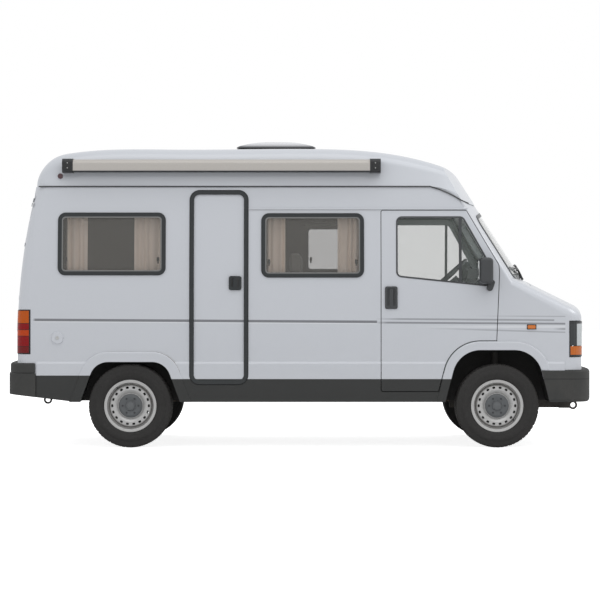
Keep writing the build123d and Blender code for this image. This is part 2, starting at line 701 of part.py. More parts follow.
# ------------------------------------------------------------ rear doors
REAR_GLASS_R = 45
for side, name in ((-1, "right"), (1, "left")):
    meet_y, core_y, out_y = (side * REAR_DOOR_MEET, side * (REAR_DOOR_MEET + LAP_STEP), side * 900)
    leaf = rear_prism(-REAR_DOOR_HALF, REAR_DOOR_HALF, *REAR_DOOR_Z, REAR_DOOR_R)
    half = block(REAR_X - 100, REAR_X + 400, min(meet_y, out_y), max(meet_y, out_y), 600, PARTING_Z)
    core = rear_prism(-REAR_DOOR_HALF, REAR_DOOR_HALF, *REAR_DOOR_Z, REAR_DOOR_R, -LAP_STEP)
    core_half = block(REAR_X - 100, REAR_X + 400, min(core_y, out_y), max(core_y, out_y), 600, PARTING_Z)
    step = lap_volume.cut(common(core, core_half))
    hole = rear_prism(side * REAR_GLASS_Y[0], side * REAR_GLASS_Y[1], *REAR_GLASS_Z, REAR_GLASS_R)
    pane_band = profile_prism(8)
    pane_back = profile_prism(8 + GLASS)
    with BuildPart() as rear_door:
        add(shell.part)
        add(leaf, mode=Mode.INTERSECT)
        add(half, mode=Mode.INTERSECT)
        add(step, mode=Mode.SUBTRACT)
        add(hole, mode=Mode.SUBTRACT)
    finish(rear_door.part, f"rear_door_{name}")
    with BuildPart() as rear_glass:
        add(pane_band)
        add(pane_back, mode=Mode.SUBTRACT)
        add(hole, mode=Mode.INTERSECT)
    finish(rear_glass.part, f"rear_glass_{name}")

# ------------------------------------------------------------ fixed glass and its rubber frames
screen_outer = behind_screen(0)
screen_inner = behind_screen(GLASS)
screen_proud = behind_screen(-5)
screen_ring_out = screen_prism(22)
with BuildPart() as windscreen:
    add(screen_cut)
    add(screen_outer, mode=Mode.INTERSECT)
    add(screen_inner, mode=Mode.SUBTRACT)
with BuildPart() as screen_rubber:
    add(screen_ring_out)
    add(screen_proud, mode=Mode.INTERSECT)
    add(screen_outer, mode=Mode.SUBTRACT)
    add(screen_prism(-10), mode=Mode.SUBTRACT)
    add(shell.part, mode=Mode.SUBTRACT)


def window_pane(s, x0, x1, z0, z1):
    band = skin_band(s, 4, 8, x0, x1, z0, z1)
    hole = side_prism(rect(x0 + WINDOW_FRAME_W, x1 - WINDOW_FRAME_W, z0 + WINDOW_FRAME_W,
                           z1 - WINDOW_FRAME_W), min(s * 700, s * 1000), max(s * 700, s * 1000),
                      WINDOW_R - WINDOW_FRAME_W)
    with BuildPart() as p:
        add(band)
        add(hole, mode=Mode.INTERSECT)
    return p.part


def window_frame(s, x0, x1, z0, z1):
    y0, y1 = min(s * 700, s * 1000), max(s * 700, s * 1000)
    band = skin_band(s, WINDOW_PROUD, 0, x0, x1, z0, z1)
    outside = side_prism(rect(x0, x1, z0, z1), y0, y1, WINDOW_R)
    inside = side_prism(rect(x0 + WINDOW_FRAME_W, x1 - WINDOW_FRAME_W, z0 + WINDOW_FRAME_W,
                             z1 - WINDOW_FRAME_W), y0, y1, WINDOW_R - WINDOW_FRAME_W)
    with BuildPart() as p:
        add(band)
        add(outside, mode=Mode.INTERSECT)
        add(inside, mode=Mode.SUBTRACT)
        face = p.faces().sort_by(Axis.Y)[0 if s < 0 else -1]
        fillet(face.edges(), 5)
    return p.part


panes = [window_pane(*w) for w in SIDE_WINDOWS]
frames = [window_frame(*w) for w in SIDE_WINDOWS]
with BuildPart() as glazing:
    add(windscreen.part)
    for pane in panes:
        add(pane)
finish(glazing.part, "glazing")
with BuildPart() as window_frames:
    add(screen_rubber.part)
    for frame in frames:
        add(frame)
finish(window_frames.part, "window_frames")

# ------------------------------------------------------------ moulded high roof and its hatch
# One row per cross-section: x, half-width at the foot, knee height, half-width at the
# shoulder, crown height, shoulder radius.
ROOF_SECTIONS = (
    (REAR_X + 147, 803, 2084, 795, 2150, 30),
    (REAR_X + 190, 866, 2084, 838, 2250, 80),
    (REAR_X + 275, 893, 2084, 850, 2335, 110),
    (REAR_X + 425, 895, 2084, 845, 2382, 115),
    (REAR_X + 1275, 895, 2084, 839, 2410, 115),
    (NOSE_X - 2200, 895, 2084, 838, 2415, 115),
    (NOSE_X - 1600, 895, 2084, 842, 2378, 115),
    (NOSE_X - 1257, 896, 2084, 842, 2305, 110),
    (NOSE_X - 1120, 900, 2062, 838, 2257, 100),
    (NOSE_X - 1010, 905, 2010, 828, 2190, 85),
    (NOSE_X - 930, 905, 1975, 812, 2105, 60),
    (NOSE_X - 872, 890, 1935, 800, 2010, 35),
)
ROOF_FOOT_Z = 1900
ROOF_CROWN = 26


def roof_body(inset):
    with BuildPart() as p:
        for x, foot, knee_z, shoulder, crown_z, corner in ROOF_SECTIONS:
            x = x + inset if x < 0 else x - inset
            top = crown_z - ROOF_CROWN - inset
            with BuildSketch(Plane.YZ.offset(x)):
                with BuildLine():
                    Polyline((-shoulder + inset, top), (-foot + inset, knee_z - inset),
                             (-foot + inset, ROOF_FOOT_Z), (foot - inset, ROOF_FOOT_Z),
                             (foot - inset, knee_z - inset), (shoulder - inset, top))
                    ThreePointArc((shoulder - inset, top), (0, crown_z - inset), (-shoulder + inset, top))
                make_face()
                fillet(vertices().group_by(Axis.Y)[-1], corner - inset * 0.5)
        loft()
    return p.part


HATCH_X = (-524, 130)
HATCH_HALF = 250
HATCH_GASKET_Z = 2428
HATCH_TOP_Z = 2500
HATCH_EDGE_Z = HATCH_GASKET_Z + GAP + 8      # lens edge at front and rear
HATCH_SIDE_Z = HATCH_GASKET_Z + GAP + 14     # and at the two sides
HATCH_HOLE_MARGIN = 60
below_roof = profile_prism(0)
roof_front_cut = behind_screen(-6)
hatch_hole = block(HATCH_X[0] + HATCH_HOLE_MARGIN, HATCH_X[1] - HATCH_HOLE_MARGIN,
                   -HATCH_HALF + HATCH_HOLE_MARGIN, HATCH_HALF - HATCH_HOLE_MARGIN, 2300, 2500)
with BuildPart() as high_roof:
    add(roof_body(0))
    add(roof_front_cut, mode=Mode.INTERSECT)
    add(common(roof_body(PANEL), behind_screen(PANEL)), mode=Mode.SUBTRACT)
    add(below_roof, mode=Mode.SUBTRACT)
    add(hatch_hole, mode=Mode.SUBTRACT)
finish(high_roof.part, "high_roof")

with BuildPart() as hatch_frame:
    with BuildSketch(Plane.XY.offset(2385)):
        with Locations((sum(HATCH_X) / 2, 0)):
            RectangleRounded(HATCH_X[1] - HATCH_X[0] - 20, 2 * HATCH_HALF - 20, 40)
    extrude(amount=HATCH_GASKET_Z - 2385)
    add(hatch_hole, mode=Mode.SUBTRACT)
    add(roof_body(0), mode=Mode.SUBTRACT)
finish(hatch_frame.part, "hatch_frame")

with BuildPart() as hatch_dome:
    with BuildSketch(Plane.XY.offset(HATCH_GASKET_Z + GAP)):
        with Locations((sum(HATCH_X) / 2, 0)):
            RectangleRounded(HATCH_X[1] - HATCH_X[0], 2 * HATCH_HALF, 60)
    extrude(amount=HATCH_TOP_Z - HATCH_GASKET_Z)
    with BuildSketch(side_plane(HATCH_HALF + 20)):
        with BuildLine():
            x0, x1 = HATCH_X[0] - 1, HATCH_X[1] + 1
            ThreePointArc((x0, HATCH_EDGE_Z), ((x0 + x1) / 2, HATCH_TOP_Z), (x1, HATCH_EDGE_Z))
            Polyline((x1, HATCH_EDGE_Z), (x1, HATCH_GASKET_Z - 20), (x0, HATCH_GASKET_Z - 20), (x0, HATCH_EDGE_Z))
        make_face()
    extrude(amount=2 * HATCH_HALF + 40, mode=Mode.INTERSECT)
    with BuildSketch(Plane.YZ.offset(HATCH_X[0] - 20)):
        with BuildLine():
            half = HATCH_HALF + 1
            ThreePointArc((-half, HATCH_SIDE_Z), (0, HATCH_TOP_Z), (half, HATCH_SIDE_Z))
            Polyline((half, HATCH_SIDE_Z), (half, HATCH_GASKET_Z - 20), (-half, HATCH_GASKET_Z - 20),
                     (-half, HATCH_SIDE_Z))
        make_face()
    extrude(amount=HATCH_X[1] - HATCH_X[0] + 40, mode=Mode.INTERSECT)
finish(hatch_dome.part, "hatch_dome")

# ------------------------------------------------------------ awning on the right roof edge
AWNING_X = (-1889, 646)
AWNING_Z = (2198, 2298)
AWNING_CAP = 86
AWNING_FRONT_Y = 983


def awning_section(x, grow):
    """Case section: a back that follows the roof, a round-shouldered front."""
    z0, z1 = AWNING_Z
    back_low = 895 - (z0 - PARTING_Z) * 0.17
    back_high = 895 - (z1 - PARTING_Z) * 0.17
    with BuildSketch(Plane.YZ.offset(x)) as s:
        with BuildLine():
            FilletPolyline((-back_low, z0 - grow), (-AWNING_FRONT_Y - grow, z0 - grow),
                           (-AWNING_FRONT_Y - grow, z1 + grow), (-back_high, z1 + grow),
                           radius=(22, 34))
            Line((-back_high, z1 + grow), (-back_low, z0 - grow))
        make_face()
    return s.sketch


case_face = awning_section(AWNING_X[0] + AWNING_CAP, 0)
cap_face = awning_section(AWNING_X[0], 6)
cap_face_front = awning_section(AWNING_X[1] - AWNING_CAP, 6)
with BuildPart() as awning:
    extrude(case_face, amount=AWNING_X[1] - AWNING_X[0] - 2 * AWNING_CAP, dir=(1, 0, 0))
    extrude(cap_face, amount=AWNING_CAP, dir=(1, 0, 0))
    extrude(cap_face_front, amount=AWNING_CAP, dir=(1, 0, 0))
    add(roof_body(0), mode=Mode.SUBTRACT)
finish(awning.part, "awning")

# ------------------------------------------------------------ lamps, grille, fittings
def lamp_pair(volume, boxes):
    with BuildPart() as p:
        for box in boxes:
            add(volume.intersect(box))
    return p.part


nose_skin = nose(-4).cut(nose(56))
LAMP_GAP = 4
head_boxes = []
for y0, y1 in both_sides(HEADLAMP_INNER_Y + LAMP_GAP, 1000):
    for z0, z1 in ((HEADLAMP_Z[0] + LAMP_GAP, INDICATOR_TOP_Z - 2), (INDICATOR_TOP_Z + 2, HEADLAMP_Z[1] - LAMP_GAP)):
        head_boxes.append(block(NOSE_X - HEADLAMP_REAR + LAMP_GAP, NOSE_X + 50, y0, y1, z0, z1))
finish(lamp_pair(nose_skin, head_boxes), "headlamps")

tail_skin = cabin(-4).cut(cabin(40, SILL_Z - 60))
tail_boxes = [block(REAR_X - 50, REAR_X + TAIL_LAMP_WRAP - LAMP_GAP, y0, y1,
                    TAIL_LAMP_Z[0] + LAMP_GAP, TAIL_LAMP_Z[1] - LAMP_GAP)
              for y0, y1 in both_sides(TAIL_LAMP_INNER_Y + LAMP_GAP, 1000)]
finish(lamp_pair(tail_skin, tail_boxes), "tail_lamps")

GRILLE_BARS = 6
GRILLE_BAR_H = 20
GRILLE_RIM = 24
grille_skin = nose(0).cut(nose(34))
grille_hole = block(NOSE_X - 300, NOSE_X + 10, -GRILLE_HALF + GRILLE_RIM, GRILLE_HALF - GRILLE_RIM,
                    GRILLE_Z[0] + GRILLE_RIM, GRILLE_Z[1] - GRILLE_RIM)
grille_body = block(NOSE_X - 200, NOSE_X + 10, -GRILLE_HALF, GRILLE_HALF, *GRILLE_Z)
pitch = (GRILLE_Z[1] - GRILLE_Z[0] - GRILLE_RIM) / (GRILLE_BARS + 1)
with BuildPart() as grille:
    add(grille_skin)
    add(grille_body, mode=Mode.INTERSECT)
    add(grille_hole, mode=Mode.SUBTRACT)
    for n in range(1, GRILLE_BARS + 1):
        z = GRILLE_Z[0] + GRILLE_RIM / 2 + n * pitch
        bar = block(NOSE_X - 200, NOSE_X + 10, -GRILLE_HALF + 2, GRILLE_HALF - 2,
                    z - GRILLE_BAR_H / 2, z + GRILLE_BAR_H / 2)
        add(grille_skin.intersect(bar))
finish(grille.part, "grille")

FILLER = (-1928, 876, 49.5)      # x, z, radius of the filler cap
MARKER = (-1913, 2168, 23)     # rear marker lamp on the roof side
REPEATER_X = (1813, 1881)
REPEATER_Z = (947, 980)
with BuildPart() as body_fittings:
    with BuildSketch(side_plane(-HALF_WIDTH)):
        with Locations((FILLER[0], FILLER[1])):
            Circle(FILLER[2])
    extrude(amount=12, taper=20)
    for side in (-1, 1):
        wall_y = side * 880
        with BuildSketch(side_plane(side * HALF_WIDTH)):
            with Locations((sum(REPEATER_X) / 2, sum(REPEATER_Z) / 2)):
                RectangleRounded(REPEATER_X[1] - REPEATER_X[0], REPEATER_Z[1] - REPEATER_Z[0], 10)
        extrude(amount=-side * 14, taper=18)
        with BuildSketch(side_plane(wall_y)):
            with Locations((MARKER[0], MARKER[1])):
                Circle(MARKER[2])
        extrude(amount=-side * 22, taper=10)
    add(roof_body(0), mode=Mode.SUBTRACT)
finish(body_fittings.part, "body_fittings")

# ------------------------------------------------------------ bumpers
REAR_BUMPER_Z = (390, 600)
REAR_STEP_Z = 676
BUMPER_SIDE = HALF_WIDTH + FLARE


def bumper_plan(x_face, x_end, bow, corner, z):
    """Plan outline of a bumper block, from its bowed face back to x_end."""
    with BuildSketch(Plane.XY.offset(z)) as s:
        sign = 1 if x_face > x_end else -1
        with BuildLine():
            Polyline((x_face - sign * bow, -BUMPER_SIDE), (x_end, -BUMPER_SIDE),
                     (x_end, BUMPER_SIDE), (x_face - sign * bow, BUMPER_SIDE))
            ThreePointArc((x_face - sign * bow, BUMPER_SIDE), (x_face, 0), (x_face - sign * bow, -BUMPER_SIDE))
        make_face()
        ends = vertices().sort_by(Axis.X)
        fillet(ends[-2:] if sign > 0 else ends[:2], corner)
    return s.sketch


body_keep_out = nose(-2, 0).fuse(cabin(-2, 0))
front_plan = bumper_plan(FRONT_X, FRONT_AXLE_X + 300, 78, 150, FRONT_BUMPER_Z[0])
ledge_room = block(REAR_X - 200, NOSE_X, -HALF_WIDTH - LEDGE - 2, HALF_WIDTH + LEDGE + 2, 0, CREASE_Z + 10)
with BuildPart() as front_bumper:
    extrude(front_plan, amount=FRONT_BUMPER_Z[1] - FRONT_BUMPER_Z[0])
    fillet(front_bumper.faces().sort_by(Axis.Z)[-1].edges(), 18)
    fillet(front_bumper.faces().sort_by(Axis.Z)[0].edges(), 30)
    add(body_keep_out, mode=Mode.SUBTRACT)
    add(ledge_room.intersect(block(0, NOSE_X - 190, -1100, 1100, 0, 2000)), mode=Mode.SUBTRACT)
    add(front_arch_cut, mode=Mode.SUBTRACT)
finish(front_bumper.part, "front_bumper")

rear_plan = bumper_plan(-FRONT_X, LEDGE_REAR_X - 6, 75, 90, REAR_BUMPER_Z[0])
step_plan = bumper_plan(-FRONT_X + 20, LEDGE_REAR_X - 9, 62, 90, REAR_BUMPER_Z[1] - 1)
with BuildPart() as rear_bumper:
    extrude(rear_plan, amount=REAR_BUMPER_Z[1] - REAR_BUMPER_Z[0])
    fillet(rear_bumper.faces().sort_by(Axis.Z)[-1].edges(), 14)
    extrude(step_plan, amount=REAR_STEP_Z - REAR_BUMPER_Z[1] + 1)
    fillet(rear_bumper.faces().sort_by(Axis.Z)[-1].edges(), 12)
    add(body_keep_out, mode=Mode.SUBTRACT)
    add(under_rise, mode=Mode.SUBTRACT)
finish(rear_bumper.part, "rear_bumper")

# ------------------------------------------------------------ floor, wheel housings, front wall
HOUSING_T = 6
HOUSING_GROW = 8
FRONT_HOUSING_Y = (552, HALF_WIDTH - PANEL)
REAR_HOUSING_Y = (694, HALF_WIDTH - WALL)
FLOOR_HALF = HALF_WIDTH - WALL - 6
FRONT_WALL_X = (SCREEN_BASE_X - 135, SCREEN_BASE_X - 110)
FRONT_WALL_TOP = 1290
SEAT_X = (740, 1150)
SEAT_Y = (230, 690)
SEAT_BASE_Z = 790


def housing(arch, y_range, side):
    """Pressed wheel housing: a skin round the wheel opening with a closed inner end."""
    y_in, y_out = y_range
    y0, y1 = (y_in, y_out) if side > 0 else (-y_out, -y_in)
    c0, c1 = (y_in + HOUSING_T, y_out + 10) if side > 0 else (-y_out - 10, -y_in - HOUSING_T)
    skin = arch_prism(arch, y0, y1, HOUSING_GROW + HOUSING_T)
    room = arch_prism(arch, c0, c1, HOUSING_GROW)
    below = block(arch[0] - 900, arch[0] + 900, -1100, 1100, 0, SILL_Z)
    with BuildPart() as p:
        add(skin)
        add(room, mode=Mode.SUBTRACT)
        add(below, mode=Mode.SUBTRACT)
    return p.part


def housing_room(arch, y_range, side):
    y_in, y_out = y_range
    y0, y1 = (y_in, y_out + 60) if side > 0 else (-y_out - 60, -y_in)
    return arch_prism(arch, y0, y1, HOUSING_GROW + HOUSING_T - 1)


floor_plate = block(REAR_X + WALL, FRONT_WALL_X[1], -FLOOR_HALF, FLOOR_HALF, FLOOR_Z - FLOOR_T, FLOOR_Z)
front_wall = block(*FRONT_WALL_X, -FLOOR_HALF, FLOOR_HALF, FLOOR_Z - FLOOR_T, FRONT_WALL_TOP)
housing_specs = [(arch, y_range, side) for arch, y_range in
                 ((FRONT_ARCH, FRONT_HOUSING_Y), (REAR_ARCH, REAR_HOUSING_Y)) for side in (-1, 1)]
housings = [housing(*spec) for spec in housing_specs]
housing_rooms = [housing_room(*spec) for spec in housing_specs]
pedestals = [block(*SEAT_X, y0, y1, FLOOR_Z - 1, SEAT_BASE_Z) for y0, y1 in both_sides(*SEAT_Y)]
TOW_EYE_R = 20
TOW_EYE_T = 14
REAR_EYE = (REAR_X + 95, 440, 325)
FRONT_EYE = (NOSE_X - 65, -440, 320)


def tow_eye(x, y, z, x_end, z_end):
    """Flat towing eye in the X-Z plane, carried up or back to what holds it."""
    with BuildPart() as p:
        with BuildSketch(side_plane(y + TOW_EYE_T / 2)):
            with Locations((x, z)):
                Circle(TOW_EYE_R + 16)
            with Locations(((x + x_end) / 2, (z + z_end) / 2)):
                Rectangle(max(abs(x_end - x), 50), max(abs(z_end - z), 50))
            with Locations((x, z)):
                Circle(TOW_EYE_R, mode=Mode.SUBTRACT)
        extrude(amount=TOW_EYE_T)
    return p.part


axle_room = block(REAR_AXLE_X - 60, REAR_AXLE_X + 60, -REAR_HOUSING_Y[0] - 40, REAR_HOUSING_Y[0] + 40,
                  SILL_Z - 5, TYRE_R + BEAM_R + 10)
rear_eye = tow_eye(*REAR_EYE, REAR_EYE[0], FLOOR_Z - FLOOR_T + 5)
front_eye = tow_eye(*FRONT_EYE, FRONT_AXLE_X + 545, FRONT_EYE[2])
with BuildPart() as floor_pan:
    add(floor_plate)
    add(front_wall)
    for room in housing_rooms:
        add(room, mode=Mode.SUBTRACT)
    for pressed in housings:
        add(pressed)
    add(axle_room, mode=Mode.SUBTRACT)
    for base in pedestals:
        add(base)
    add(inner_cabin.fuse(inner_nose), mode=Mode.INTERSECT)
    add(rear_eye)
finish(floor_pan.part, "floor_pan")

# ------------------------------------------------------------ dashboard and steering wheel
DRIVER_Y = 430
DASH_HALF = 885
WHEEL_HUB = (NOSE_X - 1021, DRIVER_Y, 1395)
COLUMN_TILT = 42                 # steering wheel's plane above the horizontal
RIM_R = 200
DASH = ((FRONT_WALL_X[0] - 2, 900), (FRONT_WALL_X[0] - 2, 1296), (FRONT_WALL_X[0] + 70, 1296),
        (FRONT_WALL_X[0] + 70, 1348), (FRONT_WALL_X[0] - 100, 1385), (FRONT_WALL_X[0] - 262, 1362),
        (FRONT_WALL_X[0] - 300, 1310), (FRONT_WALL_X[0] - 275, 1120), (FRONT_WALL_X[0] - 200, 1000),
        (FRONT_WALL_X[0] - 180, 900))
BINNACLE = ((FRONT_WALL_X[0] - 290, 1330), (FRONT_WALL_X[0] - 268, 1450), (FRONT_WALL_X[0] - 170, 1440),
            (FRONT_WALL_X[0] - 60, 1370), (FRONT_WALL_X[0] - 60, 1330))
column_dir = Vector(math.sin(math.radians(COLUMN_TILT)), 0, -math.cos(math.radians(COLUMN_TILT)))
wheel_plane = Plane(origin=WHEEL_HUB, x_dir=(0, 1, 0), z_dir=column_dir * -1)
with BuildPart() as dashboard:
    with BuildSketch(side_plane(DASH_HALF)):
        with BuildLine():
            Polyline(*DASH, close=True)
        make_face()
        fillet(vertices().sort_by(Axis.X)[:4], 16)
    extrude(amount=2 * DASH_HALF)
    with BuildSketch(side_plane(DRIVER_Y + 185)):
        with BuildLine():
            Polyline(*BINNACLE, close=True)
        make_face()
        fillet(vertices().sort_by(Axis.Y)[-2:], 18)
    extrude(amount=370)
    with BuildSketch(wheel_plane.offset(-42)):
        Circle(38)
    extrude(amount=-170)
    add(inner_cabin, mode=Mode.INTERSECT)
finish(dashboard.part, "dashboard")

with BuildPart() as steering_wheel:
    with BuildSketch(Plane(origin=wheel_plane.from_local_coords((0, RIM_R - 14, 0)),
                           x_dir=wheel_plane.z_dir, z_dir=(0, 1, 0))):
        Circle(14)
    revolve(axis=Axis(wheel_plane.origin, wheel_plane.z_dir))
    with BuildSketch(wheel_plane.offset(-24)):
        Circle(62)
    extrude(amount=30, taper=8)
    with BuildSketch(wheel_plane.offset(-16)):
        for angle in (200, 340, 90 + 180):
            with Locations(Rot(0, 0, angle)):
                with Locations((RIM_R / 2 - 8, 0)):
                    Rectangle(RIM_R - 16, 34)
    extrude(amount=12)
finish(steering_wheel.part, "steering_wheel")

# ------------------------------------------------------------ cab seats (soft, plain solids)
SEAT_SIDE = ((SEAT_X[1] + 60, SEAT_BASE_Z), (SEAT_X[1] + 75, 905), (SEAT_X[0] + 40, 885),
             (SEAT_X[0] - 105, 1480), (SEAT_X[0] - 215, 1465), (SEAT_X[0] - 90, 830), (SEAT_X[0], SEAT_BASE_Z))
with BuildPart() as cab_seats:
    for y0, y1 in both_sides(SEAT_Y[0] - 5, SEAT_Y[1] + 5):
        with BuildSketch(side_plane(y1)):
            with BuildLine():
                Polyline(*SEAT_SIDE, close=True)
            make_face()
            fillet(vertices(), 22)
        extrude(amount=y1 - y0)
        with BuildSketch(side_plane((y0 + y1) / 2 + 130)):
            with Locations((SEAT_X[0] - 172, 1560)):
                RectangleRounded(95, 190, 35)
        extrude(amount=260)
finish(cab_seats.part, "cab_seats")

# ------------------------------------------------------------ living-space furniture
KITCHEN = (-640, -20, 480, 905, FLOOR_Z, 1380)
WARDROBE = (-1150, -660, 400, 905, FLOOR_Z, 2030)
BED_BASE = (REAR_X + 85, -1190, -685, 685, FLOOR_Z, 930)
DINETTE = (20, 450, -880, -300, FLOOR_Z, 830)
furniture_room = cabin(WALL + 12, SILL_Z)
wheel_box_room = arch_prism(REAR_ARCH, -1000, 1000, HOUSING_GROW + HOUSING_T + 3)
bed_room = block(REAR_X, WARDROBE[0] - 10, -REAR_HOUSING_Y[0] + 4, REAR_HOUSING_Y[0] - 4, 0, 1000)
cupboards = [block(*KITCHEN), block(*WARDROBE), block(*BED_BASE), block(*DINETTE)]
worktop = block(KITCHEN[0] - 12, KITCHEN[1] + 12, KITCHEN[2] - 20, KITCHEN[3], KITCHEN[5], KITCHEN[5] + 30)
with BuildPart() as furniture:
    for cupboard in cupboards:
        add(cupboard)
    add(worktop)
    add(furniture_room, mode=Mode.INTERSECT)
    add(wheel_box_room.cut(bed_room), mode=Mode.SUBTRACT)
finish(furniture.part, "furniture")

mattress = block(REAR_X + 80, -1180, -880, 880, BED_BASE[5], BED_BASE[5] + 120)
bench_cushion = block(DINETTE[0] + 8, DINETTE[1] + 20, DINETTE[2], DINETTE[3], DINETTE[5], DINETTE[5] + 110)
bench_back = block(DINETTE[0] - 95, DINETTE[0] - 5, DINETTE[2] + 40, DINETTE[3] - 40, DINETTE[5] + 20, 1565)
with BuildPart() as living_cushions:
    for soft in (mattress, bench_cushion, bench_back):
        add(soft)
    add(furniture_room, mode=Mode.INTERSECT)
    fillet(living_cushions.edges().filter_by(Axis.Y), 25)
finish(living_cushions.part, "living_cushions")

# Curtains: (side, rear x, front x, bottom z, top z), hung just inside the windows.
CURTAINS = ((-1, -1890, -1712, 1375, 1868), (-1, -1326, -1104, 1375, 1868),
            (-1, -268, -110, 1360, 1862), (-1, 300, 478, 1360, 1862), (1, 420, 560, 1415, 1832))
drapes = [skin_band(s, -WALL - 14, WALL + 34, x0, x1, z0, z1) for s, x0, x1, z0, z1 in CURTAINS]
with BuildPart() as curtains:
    for drape in drapes:
        add(drape)
finish(curtains.part, "curtains")

# ------------------------------------------------------------ wipers on the windscreen
WIPER_PIVOTS = (-520, 60)
screen_up = Vector(-SCREEN_RUN, 0, SCREEN_RISE).normalized()
screen_normal = Vector(SCREEN_RISE, 0, SCREEN_RUN).normalized()
wiper_plane = Plane(origin=Vector(SCREEN_BASE_X, 0, SCREEN_BASE_Z) - screen_normal * 200,
                    x_dir=(0, 1, 0), z_dir=screen_normal)
wiper_layer = behind_screen(-22).cut(behind_screen(-6))
with BuildPart() as wipers:
    for pivot in WIPER_PIVOTS:
        with BuildSketch(wiper_plane):
            with Locations((pivot, 2)):
                Circle(16)
            with Locations(Location((pivot + 120, 50), 22)):
                Rectangle(270, 14)
            with Locations(Location((pivot + 225, 92), 4)):
                Rectangle(440, 12)
        extrude(amount=260)
    add(wiper_layer, mode=Mode.INTERSECT)
    add(shell.part, mode=Mode.SUBTRACT)
finish(wipers.part, "wipers")

# ------------------------------------------------------------ engine, subframe, tank, exhaust
with BuildPart() as engine:
    with BuildSketch(Plane.XY.offset(330)):
        with Locations(((FRONT_WALL_X[1] + 30 + NOSE_X - 190) / 2, 0)):
            Rectangle(NOSE_X - 220 - FRONT_WALL_X[1], 780)
    extrude(amount=560)
    chamfer(engine.edges().filter_by(Axis.Y), 60)
    with BuildSketch(Plane.XY.offset(480)):
        with Locations((NOSE_X - 90, 0)):
            Rectangle(40, 860)
    extrude(amount=480)
finish(engine.part, "engine")

ARM_Z = 205
CROSS_MEMBER_Z = 280
with BuildPart() as front_subframe:
    add(front_eye)
    for y0, y1 in both_sides(410, 470):
        with BuildSketch(Plane.XY.offset(300)):
            with Locations(((FRONT_AXLE_X + 100), (y0 + y1) / 2)):
                Rectangle(900, y1 - y0)
        extrude(amount=FLOOR_Z - FLOOR_T - 300)
    with BuildSketch(Plane.XY.offset(CROSS_MEMBER_Z)):
        with Locations((FRONT_AXLE_X, 0)):
            Rectangle(90, 900)
    extrude(amount=55)
    for y0, y1 in both_sides(410, 470):
        with BuildSketch(Plane.XY.offset(ARM_Z)):
            with Locations((FRONT_AXLE_X, (y0 + y1) / 2)):
                Rectangle(90, y1 - y0)
        extrude(amount=120)
    for side in (-1, 1):
        with BuildSketch(Plane.XY.offset(ARM_Z)):
            with Locations((FRONT_AXLE_X, side * (KINGPIN_LOW[0] + 440) / 2)):
                Rectangle(70, KINGPIN_LOW[0] - 440)
            with Locations((FRONT_AXLE_X, side * KINGPIN_LOW[0])):
                Circle(38)
        extrude(amount=20)
    for side in (-1, 1):
        with BuildSketch(Plane.XY.offset(ARM_Z - 5)):
            with Locations((FRONT_AXLE_X, side * (KINGPIN_LOW[0] - 2))):
                Circle(21)
        extrude(amount=30, mode=Mode.SUBTRACT)
finish(front_subframe.part, "front_subframe")

TANK = (-320, 480, 160, 720, 315, FLOOR_Z - FLOOR_T)
with BuildPart() as fuel_tank:
    add(block(*TANK))
    fillet(fuel_tank.edges().filter_by(Axis.Z), 50)
    fillet(fuel_tank.faces().sort_by(Axis.Z)[0].edges(), 30)
finish(fuel_tank.part, "fuel_tank")

PIPE_R = 24
PIPE_Y = -250
PIPE_Z = 365
PIPE_END_X = REAR_AXLE_X + 170
SILENCER_X = (-950, -380)
SILENCER_H = 84
with BuildPart() as exhaust:
    with BuildSketch(Plane.YZ.offset(PIPE_END_X)):
        with Locations((PIPE_Y, PIPE_Z)):
            Circle(PIPE_R)
    extrude(amount=FRONT_WALL_X[1] + 75 - PIPE_END_X)
    with BuildSketch(Plane.YZ.offset(SILENCER_X[0])):
        with Locations((PIPE_Y, FLOOR_Z - FLOOR_T - 4 - SILENCER_H / 2)):
            RectangleRounded(240, SILENCER_H, 40)
    extrude(amount=SILENCER_X[1] - SILENCER_X[0])
    for hanger_x in (SILENCER_X[0] + 80, SILENCER_X[1] - 80, 600):
        with BuildSketch(Plane.XY.offset(PIPE_Z)):
            with Locations((hanger_x, PIPE_Y)):
                Rectangle(8, 30)
        extrude(amount=FLOOR_Z - FLOOR_T - PIPE_Z)
    add(engine.part, mode=Mode.SUBTRACT)
finish(exhaust.part, "exhaust")

# ------------------------------------------------------------ rear axle on leaf springs
DRUM_INNER_Y = WHEEL_Y - 60
SPRING_Y = 560
SPRING_HALF = 620
SPRING_W = 60
SPRING_T = 22
with BuildPart() as rear_axle:
    with BuildSketch(side_plane(DRUM_INNER_Y - 8)):
        with Locations((REAR_AXLE_X, TYRE_R)):
            Circle(BEAM_R)
    extrude(amount=2 * (DRUM_INNER_Y - 8))
    with BuildSketch(side_plane(WHEEL_Y + 30)):
        with Locations((REAR_AXLE_X, TYRE_R)):
            Circle(STUB_R)
    extrude(amount=2 * (WHEEL_Y + 30))
    for side in (-1, 1):
        with BuildSketch(side_plane(side * SPRING_Y + SPRING_W / 2)):
            with BuildLine():
                low = TYRE_R + BEAM_R - 8
                eye = FLOOR_Z - FLOOR_T - SPRING_T
                ThreePointArc((REAR_AXLE_X - SPRING_HALF, eye), (REAR_AXLE_X, low),
                              (REAR_AXLE_X + SPRING_HALF, eye))
                Line((REAR_AXLE_X + SPRING_HALF, eye), (REAR_AXLE_X + SPRING_HALF, eye + SPRING_T))
                ThreePointArc((REAR_AXLE_X + SPRING_HALF, eye + SPRING_T), (REAR_AXLE_X, low + SPRING_T + 2),
                              (REAR_AXLE_X - SPRING_HALF, eye + SPRING_T))
                Line((REAR_AXLE_X - SPRING_HALF, eye + SPRING_T), (REAR_AXLE_X - SPRING_HALF, eye))
            make_face()
        extrude(amount=SPRING_W)
finish(rear_axle.part, "rear_axle")


